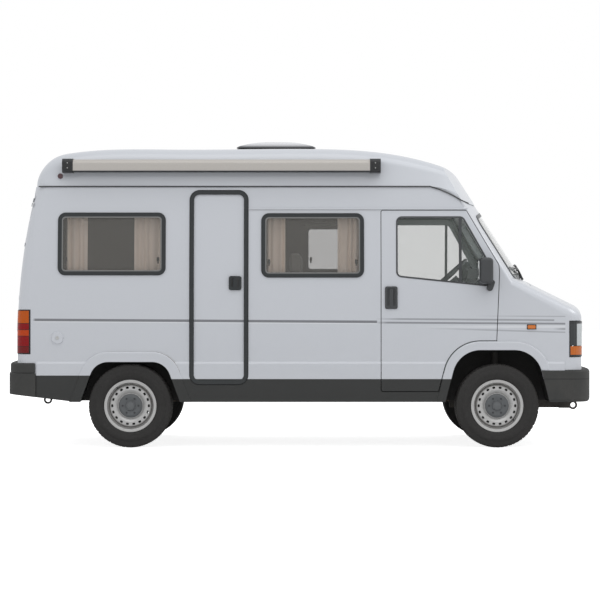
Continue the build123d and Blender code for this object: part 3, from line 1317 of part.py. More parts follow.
# ------------------------------------------------------------ steering knuckles
def kingpin_point(z):
    """Distance of the kingpin line from the centre line at height z."""
    rise = (z - KINGPIN_LOW[1]) / (KINGPIN_HIGH[1] - KINGPIN_LOW[1])
    return KINGPIN_LOW[0] + rise * (KINGPIN_HIGH[0] - KINGPIN_LOW[0])


STRUT_TOP_Z = 758
PIN_R = 15
CARRIER_Y = (752, 790)
pin_base = Vector(FRONT_AXLE_X, -kingpin_point(192), 192)
strut_base = Vector(FRONT_AXLE_X, -kingpin_point(440), 440)
strut_top = Vector(FRONT_AXLE_X, -kingpin_point(STRUT_TOP_Z), STRUT_TOP_Z)
kingpin_dir = (strut_top - pin_base).normalized()
with BuildPart() as knuckle_right:
    with BuildSketch(side_plane(-CARRIER_Y[0])):
        with Locations((FRONT_AXLE_X, TYRE_R)):
            Circle(70)
        with Locations((FRONT_AXLE_X, TYRE_R + 75)):
            RectangleRounded(70, 160, 12)
        with Locations((FRONT_AXLE_X, TYRE_R - 50)):
            RectangleRounded(60, 110, 12)
    extrude(amount=CARRIER_Y[1] - CARRIER_Y[0])
    with BuildSketch(Plane(origin=pin_base, x_dir=(1, 0, 0), z_dir=kingpin_dir)):
        Circle(PIN_R)
    extrude(amount=110)
    with BuildSketch(Plane(origin=strut_base, x_dir=(1, 0, 0), z_dir=kingpin_dir)):
        Circle(STRUT_R)
    extrude(amount=(strut_top - strut_base).length)
    with BuildSketch(side_plane(-kingpin_point(460))):
        with Locations((FRONT_AXLE_X, 465)):
            RectangleRounded(56, 60, 8)
    extrude(amount=CARRIER_Y[1] - kingpin_point(460))
    with BuildSketch(side_plane(-CARRIER_Y[0])):
        with Locations((FRONT_AXLE_X, TYRE_R)):
            Circle(STUB_R)
    extrude(amount=WHEEL_Y + 30 - CARRIER_Y[0])
finish(knuckle_right.part, "knuckle_right")
finish(mirrored(knuckle_right.part), "knuckle_left")

# ------------------------------------------------------------ wheels
RIM_HALF_W = 82
VENTS = 18
VENT_R = 146
HUB_CAP_R = 95.5


def wheel_sketch_plane(x, side):
    """Sketch plane through a wheel's axis: first axis outboard, second up."""
    return Plane(origin=(x, side * WHEEL_Y, TYRE_R), x_dir=(0, side, 0), z_dir=(side, 0, 0))


def tyre(x, side):
    axis = Axis((x, side * WHEEL_Y, TYRE_R), (0, 1, 0))
    with BuildPart() as p:
        with BuildSketch(wheel_sketch_plane(x, side)):
            with BuildLine():
                Polyline((-74, BEAD_R), (-76, 208))
                ThreePointArc((-76, 208), (-TYRE_HALF_W, 262), (-93, 314))
                ThreePointArc((-93, 314), (-85, 327), (-68, TYRE_R - 1))
                ThreePointArc((-68, TYRE_R - 1), (0, TYRE_R), (68, TYRE_R - 1))
                ThreePointArc((68, TYRE_R - 1), (85, 327), (93, 314))
                ThreePointArc((93, 314), (TYRE_HALF_W, 262), (76, 208))
                Polyline((76, 208), (74, BEAD_R), (-74, BEAD_R))
            make_face()
        revolve(axis=axis)
    return p.part


def rim(x, side):
    """Pressed steel wheel: barrel, vented disc, brake drum behind it and hub cap."""
    centre = Vector(x, side * WHEEL_Y, TYRE_R)
    axis = Axis(centre, (0, 1, 0))
    plane = wheel_sketch_plane(x, side)
    bore = STUB_R + BORE_CLEARANCE
    face_plane = Plane(origin=centre, x_dir=(1, 0, 0), z_dir=(0, side, 0))
    with BuildPart() as p:
        with BuildSketch(plane):
            with BuildLine():
                Polyline((-82, 208), (-76, 208), (-74, BEAD_R), (-42, BEAD_R), (-32, 180), (28, 180),
                         (40, BEAD_R), (74, BEAD_R), (76, 208), (82, 208), (82, 201), (79, 186),
                         (44, 184), (34, 173), (-34, 173), (-44, 184), (-79, 186), (-82, 201), close=True)
            make_face()
        revolve(axis=axis)
        with BuildSketch(plane):
            with BuildLine():
                Polyline((34, 176), (52, 164), (58, 158), (58, 128), (52, 118), (40, 100), (40, bore),
                         (30, bore), (30, 106), (48, 130), (48, 154), (26, 170), (26, 176), close=True)
            make_face()
        revolve(axis=axis)
        with BuildSketch(plane):
            with BuildLine():
                Polyline((-60, bore), (30, bore), (30, 60), (-12, 60), (-12, 130), (-44, 130),
                         (-44, 60), (-60, 60), close=True)
            make_face()
        revolve(axis=axis)
        with BuildSketch(face_plane.offset(44)):
            with PolarLocations(VENT_R, VENTS):
                RectangleRounded(17, 23, 6)
        extrude(amount=30, mode=Mode.SUBTRACT)
        with BuildSketch(plane):
            with BuildLine():
                Polyline((38, 0), (38, HUB_CAP_R), (52, HUB_CAP_R))
                ThreePointArc((52, HUB_CAP_R), (60, 86), (64, 72))
                Polyline((64, 72), (60, 40), (70, 34), (70, 0), (38, 0))
            make_face()
        revolve(axis=axis)
    return p.part


for axle_name, axle_x in (("front", FRONT_AXLE_X), ("rear", REAR_AXLE_X)):
    for side, side_name in ((-1, "right"), (1, "left")):
        finish(tyre(axle_x, side), f"tyre_{axle_name}_{side_name}")
        finish(rim(axle_x, side), f"rim_{axle_name}_{side_name}")
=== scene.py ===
import math

import bmesh
import bpy
from mathutils import Matrix, Vector


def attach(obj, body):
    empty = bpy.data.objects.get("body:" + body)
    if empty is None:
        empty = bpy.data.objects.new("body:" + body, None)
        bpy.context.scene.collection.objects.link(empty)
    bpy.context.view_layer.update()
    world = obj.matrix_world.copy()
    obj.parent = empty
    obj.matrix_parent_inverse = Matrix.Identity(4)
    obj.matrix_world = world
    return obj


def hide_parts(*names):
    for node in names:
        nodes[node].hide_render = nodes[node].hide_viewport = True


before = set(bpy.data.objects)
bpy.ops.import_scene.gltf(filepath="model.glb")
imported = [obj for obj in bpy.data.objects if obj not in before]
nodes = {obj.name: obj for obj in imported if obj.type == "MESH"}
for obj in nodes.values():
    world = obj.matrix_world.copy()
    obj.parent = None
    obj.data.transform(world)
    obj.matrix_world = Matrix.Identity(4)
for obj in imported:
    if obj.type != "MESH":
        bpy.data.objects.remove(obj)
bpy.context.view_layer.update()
scene = bpy.context.scene

# ---------------------------------------------------------------- studio
# A level long-lens camera stands about 19 m off the van's right side, at chest height.
# The van stands on a pale floor under an even sky and two softboxes, overhead and in front.
LENS_MM = 138.7
CAMERA_AT = (0.067, -19.367, 1.170)
LENS_SHIFT = (-8 / 600, 1 / 600)
SKY_STRENGTH = 0.88
FLOOR_GLOW = 0.85
FLOOR_RADIUS = 70
camera_data = bpy.data.cameras.new("side_camera")
camera_data.lens = LENS_MM
camera_data.shift_x, camera_data.shift_y = LENS_SHIFT
camera_data.clip_end = 200
side_camera = bpy.data.objects.new("side_camera", camera_data)
side_camera.location = CAMERA_AT
side_camera.rotation_euler = (math.radians(90), 0, 0)
scene.collection.objects.link(side_camera)
scene.camera = side_camera
scene.view_settings.view_transform = "Standard"


def feed(tree, node, *inputs, **values):
    """Link or set a node's sockets, first in their order and then by name."""
    pairs = list(zip(node.inputs, inputs))
    pairs += [(node.inputs[key.replace("_", " ")], value) for key, value in values.items()]
    for socket, value in pairs:
        if isinstance(value, bpy.types.NodeSocket):
            tree.links.new(value, socket)
        else:
            socket.default_value = value


def put(tree, kind, *inputs, **values):
    """Add a shader node, give it its settings and feed its sockets."""
    made = tree.nodes.new("ShaderNode" + kind)
    made.location = (0, -120 * (len(tree.nodes) % 9))
    for key in [key for key in values if hasattr(made, key)]:
        setattr(made, key, values.pop(key))
    feed(tree, made, *inputs, **values)
    return made


def calc(tree, operation, *inputs, clamp=False):
    """The result of one step of arithmetic."""
    return put(tree, "Math", *inputs, operation=operation, use_clamp=clamp).outputs[0]


def seen_ray(tree):
    """1 on rays from the lens, straight or through glass."""
    path = put(tree, "LightPath").outputs
    return calc(tree, "MAXIMUM", path["Is Camera Ray"], path["Is Transmission Ray"])


sky = bpy.data.worlds.new("even_sky")
scene.world = sky
sky.use_nodes = True
sky_tree = sky.node_tree
sky_light = sky_tree.nodes["Background"]
feed(sky_tree, sky_light, (0.985, 0.99, 1.0, 1), SKY_STRENGTH)
sky_seen = put(sky_tree, "Background", (1, 1, 1, 1))
sky_mix = put(sky_tree, "MixShader", seen_ray(sky_tree), sky_light.outputs[0], sky_seen.outputs[0])
feed(sky_tree, sky_tree.nodes["World Output"], Surface=sky_mix.outputs[0])

floor_bm = bmesh.new()
bmesh.ops.create_circle(floor_bm, cap_ends=True, segments=96, radius=FLOOR_RADIUS)
floor_mesh = bpy.data.meshes.new("studio_floor")
floor_bm.to_mesh(floor_mesh)
floor_bm.free()
studio_floor = bpy.data.objects.new("studio_floor", floor_mesh)
scene.collection.objects.link(studio_floor)
floor_paint = bpy.data.materials.new("floor_paint")
floor_paint.use_nodes = True
floor_tree = floor_paint.node_tree
floor_glow = calc(floor_tree, "MULTIPLY", seen_ray(floor_tree), FLOOR_GLOW)
feed(floor_tree, floor_tree.nodes["Principled BSDF"], Base_Color=(0.78, 0.78, 0.78, 1), Roughness=0.9,
     Emission_Color=(1, 1, 1, 1), Emission_Strength=floor_glow)
floor_mesh.materials.append(floor_paint)

for lamp_name, lamp_at, lamp_aim, lamp_size, watts in (
        ("overhead_softbox", (0.5, -4.5, 8.5), (0, 0, 1.2), (9, 5), 105),
        ("front_softbox", (8, -1, 6.5), (1.6, 0, 1), (4, 4), 120)):
    lamp = bpy.data.lights.new(lamp_name, "AREA")
    lamp.shape = "RECTANGLE"
    lamp.size, lamp.size_y = lamp_size
    lamp.energy = watts
    holder = bpy.data.objects.new(lamp_name, lamp)
    holder.location = lamp_at
    holder.rotation_euler = (Vector(lamp_aim) - Vector(lamp_at)).to_track_quat("-Z", "Y").to_euler()
    scene.collection.objects.link(holder)

# ---------------------------------------------------------------- underbody
# Floor pressing, subframe, axle, knuckles and tank: steel under a thick black
# rubbery underseal, sprayed on and dusted by the road. The cabin side has vinyl flooring.


def effect(name, inputs, outputs):
    """Start a shared node group: its tree, the sockets it is given, and its output node."""
    tree = bpy.data.node_groups.new(name, "ShaderNodeTree")
    for label, kind, value in inputs:
        socket = tree.interface.new_socket(name=label, in_out="INPUT", socket_type="NodeSocket" + kind)
        if value is not None:
            socket.default_value = value
    for label, kind in outputs:
        tree.interface.new_socket(name=label, in_out="OUTPUT", socket_type="NodeSocket" + kind)
    return tree, tree.nodes.new("NodeGroupInput").outputs, tree.nodes.new("NodeGroupOutput")


def spread(tree, value, low, high, start=0.0, end=1.0):
    """Map a value from one range to another, held at both ends."""
    return put(tree, "MapRange", value, low, high, start, end).outputs[0]


def times(tree, *values):
    """Product of several masks."""
    product = values[0]
    for value in values[1:]:
        product = calc(tree, "MULTIPLY", product, value)
    return product


# Surface grain: fine mottling of colour, gloss and relief.
grain, given, result = effect("surface_grain", (
    ("Color", "Color", (0.5, 0.5, 0.5, 1)), ("Vector", "Vector", None), ("Scale", "Float", 40.0),
    ("Contrast", "Float", 0.1), ("Rough", "Float", 0.5), ("Rough Spread", "Float", 0.1)),
    (("Color", "Color"), ("Rough", "Float"), ("Height", "Float")))
fine = put(grain, "TexNoise", Vector=given["Vector"], Scale=given["Scale"], Detail=6.0, Roughness=0.6)
wide = put(grain, "TexNoise", Vector=given["Vector"], Scale=2.3, Detail=3.0)
swing = calc(grain, "MULTIPLY", spread(grain, fine.outputs["Fac"], 0.3, 0.7, -1.0, 1.0), given["Contrast"])
shaded = put(grain, "VectorMath", given["Color"], operation="SCALE", Scale=calc(grain, "ADD", swing, 1.0))
off_middle = calc(grain, "SUBTRACT", wide.outputs["Fac"], 0.5)
gloss = calc(grain, "MULTIPLY_ADD", off_middle, given["Rough Spread"], given["Rough"])
feed(grain, result, Color=shaded.outputs[0], Rough=gloss, Height=fine.outputs["Fac"])

# Road film: pale dust that thins out with height above the road.
film, given, result = effect("road_film", (
    ("Color", "Color", (0.5, 0.5, 0.5, 1)), ("Vector", "Vector", None),
    ("Film Color", "Color", (0.30, 0.27, 0.23, 1)), ("Low", "Float", 0.2), ("High", "Float", 0.9),
    ("Amount", "Float", 0.2)), (("Color", "Color"), ("Mask", "Float")))
height = put(film, "SeparateXYZ", given["Vector"]).outputs["Z"]
patch = put(film, "TexNoise", Vector=given["Vector"], Scale=6.0, Detail=6.0, Roughness=0.65).outputs["Fac"]
share = times(film, spread(film, height, given["Low"], given["High"], 1.0, 0.0),
              spread(film, patch, 0.3, 0.75), given["Amount"])
dusted = put(film, "Mix", data_type="RGBA", Factor=share, A=given["Color"], B=given["Film Color"])
feed(film, result, Color=dusted.outputs["Result"], Mask=share)


def finish_of(name, color, rough, scale=60.0, contrast=0.08, uneven=0.15, bump=0.2, metal=0.0,
              film_amount=0.0, coat=0.0, grain_depth=0.0006):
    """A material of one colour with grain, uneven gloss, relief and road film."""
    made = bpy.data.materials.new(name)
    made.use_nodes = True
    tree = made.node_tree
    place = put(tree, "TexCoord").outputs["Object"]
    mottled = put(tree, "Group", node_tree=grain, Color=(*color, 1), Vector=place, Scale=scale,
                  Contrast=contrast, Rough=rough, Rough_Spread=uneven).outputs
    dusty = put(tree, "Group", node_tree=film, Color=mottled["Color"], Vector=place, Amount=film_amount)
    relief = put(tree, "Bump", Strength=bump, Distance=grain_depth, Height=mottled["Height"])
    feed(tree, tree.nodes["Principled BSDF"], Metallic=metal, Coat_Weight=coat,
         Base_Color=dusty.outputs["Color"], Roughness=mottled["Rough"], Normal=relief.outputs[0])
    return made


def dress(material, *names):
    """Give CAD nodes their finish."""
    for name in names:
        for holder in nodes[name].material_slots:
            holder.material = material


def mask_where(tree, value, low, high, soft=0.0005):
    """A 0 to 1 mask that is 1 where value lies between low and high."""
    return times(tree, spread(tree, value, low - soft, low + soft),
                 spread(tree, value, high - soft, high + soft, 1.0, 0.0))


def tint(tree, base, mask, color):
    """Paint one colour over another through a mask."""
    return put(tree, "Mix", data_type="RGBA", Factor=mask, A=base, B=(*color, 1)).outputs["Result"]


def into(tree, node, socket):
    """The output that feeds a node's socket now."""
    return next(k.from_socket for k in tree.links if k.to_node == node and k.to_socket.name == socket)


def opened(material):
    """A material's tree, its shader and the colour that reaches it."""
    tree = material.node_tree
    shader = tree.nodes["Principled BSDF"]
    return tree, shader, into(tree, shader, "Base Color")


def axes(tree):
    """Object coordinates: the vector, then its x, y and z."""
    place = put(tree, "TexCoord").outputs["Object"]
    return place, *put(tree, "SeparateXYZ", place).outputs


def zones(material, *bands):
    """Paint a finish in other colours where its coordinates lie between given places."""
    tree, shader, color = opened(material)
    where = dict(zip("XYZ", axes(tree)[1:]))
    for shade, *limits in bands:
        mask = times(tree, *[mask_where(tree, where[axis], *ends) for axis, *ends in limits])
        color = tint(tree, color, mask, shade)
    feed(tree, shader, Base_Color=color)
    return tree, shader, where


underseal = finish_of("underseal", (0.022, 0.021, 0.020), 0.78, scale=120, contrast=0.3, bump=0.7,
                      film_amount=0.35, grain_depth=0.002)
dress(underseal, "front_subframe", "rear_axle", "knuckle_right", "knuckle_left", "fuel_tank")
floor_finish = finish_of("floor_finish", (0.022, 0.021, 0.020), 0.75, scale=90, contrast=0.25, bump=0.5)
tree, shader, color = opened(floor_finish)
upward = put(tree, "SeparateXYZ", put(tree, "TexCoord").outputs["Normal"]).outputs["Z"]
vinyl = mask_where(tree, upward, 0.5, 2.0, 0.05)
feed(tree, shader, Base_Color=tint(tree, color, vinyl, (0.12, 0.10, 0.085)))
dress(floor_finish, "floor_pan")
dress(finish_of("engine_iron", (0.05, 0.05, 0.052), 0.6, scale=150, contrast=0.35, bump=0.6, metal=0.5),
      "engine")
dress(finish_of("exhaust_steel", (0.17, 0.13, 0.10), 0.55, scale=30, contrast=0.45, uneven=0.3, bump=0.3,
                metal=0.75, film_amount=0.4), "exhaust")

# ---------------------------------------------------------------- tyres
# Radial van tyres, black rubber gone slightly brown, moulded with four round grooves,
# cut shoulder blocks and plain side walls, and pressed over the steel wheels.
SIDES = ((-1, "right"), (1, "left"))
AXLES = {"front": 1.575, "rear": -1.349}
WHEEL_Y = 0.862
AXLE_Z = 0.334
TREAD_STEPS = 192
GROOVE_FOOT = 0.3268
HALF_PROFILE = [(0.0740, 0.1910), (0.0762, 0.2080), (0.0800, 0.2110), (0.0840, 0.2115), (0.0870, 0.2150),
                (0.0915, 0.2260), (0.0930, 0.2265), (0.0975, 0.2420), (0.1005, 0.2520), (0.1018, 0.2640),
                (0.1010, 0.2800), (0.1000, 0.2815), (0.0990, 0.2940), (0.0985, 0.3040), (0.0972, 0.3130),
                (0.0950, 0.3215), (0.0910, 0.3275), (0.0840, 0.3310), (0.0720, 0.3325), (0.0560, 0.3330),
                (0.0550, 0.3262), (0.0480, 0.3262), (0.0470, 0.3332), (0.0240, 0.3338), (0.0230, 0.3268),
                (0.0150, 0.3268), (0.0140, 0.3340)]
TREAD_LINE = [(-y, r) for y, r in HALF_PROFILE] + [(y, r) for y, r in reversed(HALF_PROFILE)]


def shift(*by):
    """A move, as a matrix."""
    return Matrix.Translation(by)


def turn(degrees, axis):
    """A turn about an axis through the origin, as a matrix."""
    return Matrix.Rotation(math.radians(degrees), 4, axis)


def stretch(*by):
    """A scale along the three axes, as a matrix."""
    return Matrix.Diagonal((*by, 1))


def faced(bm):
    """Face a mesh outwards."""
    bmesh.ops.recalc_face_normals(bm, faces=bm.faces[:])
    return bm


def settled(bm, matrix):
    """Move a mesh into place and face it outwards."""
    bmesh.ops.transform(bm, verts=bm.verts[:], matrix=matrix)
    return faced(bm)


def spun(profile, steps, closed=False):
    """A ring of surface turned about the Y axis from points of distance and radius."""
    bm = bmesh.new()
    line = [bm.verts.new((0, y, r)) for y, r in profile]
    for a, b in zip(line, line[1:] + line[:closed]):
        bm.edges.new((a, b))
    bmesh.ops.spin(bm, geom=bm.verts[:] + bm.edges[:], axis=(0, 1, 0), cent=(0, 0, 0),
                   angle=2 * math.pi, steps=steps, use_merge=True)
    bmesh.ops.remove_doubles(bm, verts=bm.verts[:], dist=1e-6)
    return faced(bm)


def piece(name, bm, material, body, smooth=35):
    """Turn a finished bmesh into a piece that rides on a body."""
    mesh = bpy.data.meshes.new(name)
    bm.to_mesh(mesh)
    bm.free()
    mesh.materials.append(material)
    made = bpy.data.objects.new(name, mesh)
    scene.collection.objects.link(made)
    if smooth:
        for face in mesh.polygons:
            face.use_smooth = True
        mesh.set_sharp_from_angle(angle=math.radians(smooth))
    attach(made, body)
    return made


def hub_distance(tree, axle_x):
    """Distance from a wheel's axle, and from the van's middle plane."""
    place, _, y, _ = axes(tree)
    centred = put(tree, "Mapping", Vector=place, Location=(-axle_x, 0, -AXLE_Z)).outputs[0]
    flat = put(tree, "VectorMath", centred, (1, 0, 1), operation="MULTIPLY").outputs[0]
    return put(tree, "VectorMath", flat, operation="LENGTH").outputs["Value"], calc(tree, "ABSOLUTE", y)


def rubber_of(name, axle_x):
    """Tyre rubber whose moulded rings are centred on one axle."""
    made = finish_of(name, (0.018, 0.0168, 0.0158), 0.70, scale=70, contrast=0.25, bump=0.25)
    tree, shader, color = opened(made)
    reach, _ = hub_distance(tree, axle_x)
    worn = mask_where(tree, reach, 0.322, 0.5, 0.006)
    ripple = calc(tree, "SINE", calc(tree, "MULTIPLY", reach, 1500.0))
    raised = times(tree, ripple, mask_where(tree, reach, 0.268, 0.300, 0.002))
    relief = put(tree, "Bump", Strength=0.35, Distance=0.0006, Height=raised,
                 Normal=into(tree, shader, "Normal"))
    feed(tree, shader, Base_Color=tint(tree, color, worn, (0.027, 0.025, 0.023)), Normal=relief.outputs[0])
    return made


def tread_cut(bm, low, high, phase, every, depth):
    """Press cross grooves into the ribs between two distances from the tyre's middle."""
    chosen = []
    for face in bm.faces:
        middle = face.calc_center_median()
        reach = math.hypot(middle.x, middle.z)
        step = int(round(math.atan2(middle.x, middle.z) / (2 * math.pi) * TREAD_STEPS - 0.5))
        foot = GROOVE_FOOT - 0.012 * (high > 0.08)
        if low < abs(middle.y) < high and reach > foot and (step + phase) % every == 0:
            chosen.append(face)
    bmesh.ops.inset_region(bm, faces=chosen, thickness=0.0005, depth=-depth, use_even_offset=True)


for axle, axle_x in AXLES.items():
    rubber_blend = rubber_of("tyre_rubber_" + axle, axle_x)
    for side, side_name in SIDES:
        tyre_bm = spun(TREAD_LINE, TREAD_STEPS, closed=True)
        tread_cut(tyre_bm, 0.0555, 0.0935, 0, 3, 0.0050)
        tread_cut(tyre_bm, 0.0235, 0.0475, 1, 4, 0.0035)
        tread_cut(tyre_bm, 0.0, 0.0145, 3, 4, 0.0035)
        bmesh.ops.translate(tyre_bm, verts=tyre_bm.verts[:], vec=(axle_x, side * WHEEL_Y, AXLE_Z))
        wheel = f"{axle}_{side_name}"
        tyre_piece = piece("tyre_tread_" + wheel, tyre_bm, rubber_blend, "wheel_" + wheel)
        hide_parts("tyre_" + wheel)

# ---------------------------------------------------------------- wheels
# Pressed steel wheels, stoved silver, with a ring of vents, a round bright step and a
# grey moulded hub cap snapped over the nuts. The brake drum behind is bare dark iron.
CAP_R = 0.0955
WHEEL_METAL = 0.45
BOSS_PROFILE = [(0.0600, 0.0), (0.0722, 0.0), (0.0722, 0.0260), (0.0712, 0.0285), (0.0695, 0.0290),
                (0.0690, 0.0310), (0.0712, 0.0318), (0.0715, 0.0345), (0.0665, 0.0385), (0.0600, 0.0400)]
VALVE_PROFILE = [(-0.010, 0.0), (-0.010, 0.0048), (0.012, 0.0046), (0.014, 0.0030), (0.024, 0.0030),
                 (0.026, 0.0040), (0.034, 0.0040), (0.036, 0.0)]


def wheel_finish_of(name, axle_x):
    """Silver wheel paint with a grey hub cap in the middle and a dark drum behind."""
    made = finish_of(name, (0.500, 0.496, 0.488), 0.36, scale=220, contrast=0.06, bump=0.08,
                     metal=WHEEL_METAL)
    tree, shader, color = opened(made)
    reach, width = hub_distance(tree, axle_x)
    step_shadow = mask_where(tree, reach, 0.1655, 0.1735, 0.0015)
    drum = times(tree, mask_where(tree, width, 0.0, WHEEL_Y + 0.0245, 0.001),
                 mask_where(tree, reach, 0.0, 0.172, 0.001))
    cap = times(tree, mask_where(tree, reach, 0.0, CAP_R, 0.0006),
                mask_where(tree, width, WHEEL_Y + 0.041, 2.0, 0.0004))
    for mask, shade in ((step_shadow, (0.20, 0.19, 0.18)), (drum, (0.035, 0.03, 0.027)),
                        (cap, (0.100, 0.107, 0.112))):
        color = tint(tree, color, mask, shade)
    feed(tree, shader, Base_Color=color, Metallic=calc(tree, "SUBTRACT", WHEEL_METAL, cap, clamp=True))
    return made


cap_plastic = finish_of("hub_cap_plastic", (0.120, 0.127, 0.132), 0.42, scale=300, contrast=0.05, bump=0.1)
valve_rubber_and_recess_shade = finish_of("hub_cap_recess", (0.035, 0.038, 0.04), 0.5, scale=200, bump=0.1)
bright_zinc = finish_of("bright_zinc", (0.55, 0.55, 0.54), 0.3, scale=150, metal=0.9)
for axle, axle_x in AXLES.items():
    silver = wheel_finish_of("wheel_silver_" + axle, axle_x)
    for side, side_name in SIDES:
        wheel = f"{axle}_{side_name}"
        dress(silver, "rim_" + wheel)
        hub = shift(axle_x, side * WHEEL_Y, AXLE_Z) @ stretch(1, side, 1)
        # Six flat dark discs on the cap stand for its nut recesses: painted shade. The valve is dark rubber.
        recess_shade_bm = bmesh.new()
        for n in range(6):
            bmesh.ops.create_cone(recess_shade_bm, cap_ends=True, segments=24, radius1=0.0085, radius2=0.0072,
                                  depth=0.0022,
                                  matrix=turn(60 * n + 30, "Y") @ shift(0, 0.0640, 0.0640) @ turn(-90, "X"))
        valve_at = hub @ Matrix.Rotation(0.7 + axle_x, 4, "Y") @ shift(0.0, 0.045, 0.1765)
        for label, part_bm, where, material in (
                ("hub_cap_boss_", spun(BOSS_PROFILE, 64), hub, cap_plastic),
                ("hub_cap_recess_shades_", recess_shade_bm, hub, valve_rubber_and_recess_shade),
                ("valve_", spun(VALVE_PROFILE, 20), valve_at, valve_rubber_and_recess_shade)):
            piece(label + wheel, settled(part_bm, where), material, "wheel_" + wheel)

# ---------------------------------------------------------------- painted steel body
# Pressed steel panels in silver-grey metallic paint, with dark grey stone-guard
# coating along the sills and grey coach lines that fan out towards the nose.
PAINT = (0.572, 0.592, 0.630)
PAINT_COAT = 0.45
SILL_GREY = (0.034, 0.035, 0.034)
SILL_TOP = 0.549
REAR_SILL_TOP = 0.577
REAR_SILL_FRONT = -1.55
LINING = (0.20, 0.175, 0.15)
CAB_LINING = (0.350, 0.390, 0.385)
CAB_LINING_REAR = 0.60
# Each line: height at x = 0, fall per metre, half width, rear end, front end, fade, strength.
LINE_GREY = (0.16, 0.165, 0.18)
COACH_LINES = (
    (1.0078, -0.0058, 0.0092, -2.124, 0.62, 0.02, 0.92),
    (1.0325, -0.0075, 0.0060, 0.60, 2.030, 0.20, 0.58),
    (1.0020, -0.0060, 0.0065, 0.60, 2.118, 0.10, 0.74),
    (1.0580, -0.0050, 0.0030, 1.40, 2.118, 0.40, 0.40),
    (0.9840, -0.0300, 0.0050, 1.00, 2.118, 0.50, 0.40),
    (0.9480, 0.0, 0.0080, 2.020, 2.118, 0.08, 0.50))
LINE_PALE = (0.80, 0.81, 0.83)
PALE_LINES = ((0.9935, -0.0058, 0.0032, -2.124, 0.62, 0.02, 0.45),
              (0.9650, 0.0, 0.0080, 0.90, 2.118, 0.60, 0.40))

coach, given, result = effect("coach_line", (
    ("Vector", "Vector", None), ("Height", "Float", 1.0), ("Fall", "Float", 0.0),
    ("Half Width", "Float", 0.006), ("Rear X", "Float", -2.0), ("Front X", "Float", 2.0),
    ("Fade", "Float", 0.1), ("Strength", "Float", 1.0)), (("Mask", "Float"),))
x, y, z = put(coach, "SeparateXYZ", given["Vector"]).outputs
line_height = calc(coach, "MULTIPLY_ADD", x, given["Fall"], given["Height"])
off_line = calc(coach, "ABSOLUTE", calc(coach, "SUBTRACT", z, line_height))
feed(coach, result, Mask=times(
    coach,
    spread(coach, off_line, given["Half Width"], calc(coach, "ADD", given["Half Width"], 0.0018), 1.0, 0.0),
    spread(coach, x, given["Rear X"], calc(coach, "ADD", given["Rear X"], given["Fade"])),
    spread(coach, x, calc(coach, "SUBTRACT", given["Front X"], 0.006), given["Front X"], 1.0, 0.0),
    spread(coach, calc(coach, "ABSOLUTE", y), 0.945, 0.955),
    given["Strength"]))

# Inner face: 1 where a surface looks towards the middle of the cabin.
inward, given, result = effect("inner_face", (
    ("Vector", "Vector", None), ("Normal", "Vector", None)), (("Mask", "Float"),))
from_middle = put(inward, "VectorMath", given["Vector"], (0.0, 0.0, 1.30), operation="SUBTRACT").outputs[0]
facing_out = put(inward, "VectorMath", from_middle, given["Normal"], operation="DOT_PRODUCT")
feed(inward, result, Mask=spread(inward, facing_out.outputs["Value"], -0.30, -0.22, 1.0, 0.0))


def van_paint(name, color, lined=True, sill=True, rough=0.36):
    """Metallic body paint, with coach lines, sill coating and the lining inside."""
    made = finish_of(name, color, rough, scale=420, contrast=0.02, uneven=0.10, bump=0.04, metal=0.12,
                     film_amount=0.10, coat=PAINT_COAT, grain_depth=0.0003)
    tree, shader, base = opened(made)
    shader.inputs["Coat Roughness"].default_value = 0.12
    place, x, y, z = axes(tree)
    for lines, shade in ((PALE_LINES, LINE_PALE), (COACH_LINES, LINE_GREY)) if lined else ():
        for height, fall, half, rear, front, fade, strength in lines:
            line = put(tree, "Group", node_tree=coach, Vector=place, Height=height, Fall=fall,
                       Half_Width=half, Rear_X=rear, Front_X=front, Fade=fade, Strength=strength)
            base = tint(tree, base, line.outputs["Mask"], shade)
    if sill:
        lowered = calc(tree, "ADD", z, spread(tree, x, REAR_SILL_FRONT, REAR_SILL_FRONT - 0.002, 0.0,
                                              SILL_TOP - REAR_SILL_TOP))
        low = times(tree, mask_where(tree, lowered, -1.0, SILL_TOP, 0.0012),
                    mask_where(tree, calc(tree, "ABSOLUTE", y), 0.90, 2.0, 0.004))
        base = tint(tree, base, low, SILL_GREY)
        coarse = calc(tree, "MULTIPLY_ADD", low, 0.30, into(tree, shader, "Roughness"))
        feed(tree, shader, Roughness=coarse, Coat_Weight=spread(tree, low, 0.0, 1.0, PAINT_COAT, 0.0))
    inside = put(tree, "Group", node_tree=inward, Vector=place,
                 Normal=put(tree, "TexCoord").outputs["Normal"])
    lined_face = times(tree, inside.outputs["Mask"], mask_where(tree, z, 0.60, 4.0, 0.01))
    base = tint(tree, base, lined_face, LINING)
    base = tint(tree, base, times(tree, lined_face, mask_where(tree, x, CAB_LINING_REAR, 9.0)), CAB_LINING)
    feed(tree, shader, Base_Color=base)
    return made


dress(van_paint("van_paint_lined", PAINT),
      "side_right", "side_left", "cab_frame", "wings", "cab_door_right", "cab_door_left", "entry_door")
dress(van_paint("van_paint_plain", PAINT, lined=False), "rear_frame", "rear_door_right", "rear_door_left")
nose_paint = van_paint("van_paint_nose", PAINT, lined=False, sill=False)
dress(nose_paint, "front_panel", "bonnet")

# ---------------------------------------------------------------- small body fittings
# Push-on moulded parts: a body-coloured filler cap on the right, amber side repeaters
# on both wings and dark red marker lamps at the rear of the roof.
BODY_HALF = 0.966
SKIN_KNEE, SKIN_CURVE = 1.0, 7.63
FILLER_AT = (-1.928, -BODY_HALF - 0.0115, 0.876)
fitting_finish = finish_of("fitting_plastic", PAINT, 0.35, scale=300, contrast=0.03, bump=0.05, coat=0.4)
zones(fitting_finish, ((0.62, 0.16, 0.012), ("X", 1.7, 2.0)), ((0.072, 0.026, 0.032), ("Z", 2.0, 2.4)))
dress(fitting_finish, "body_fittings")


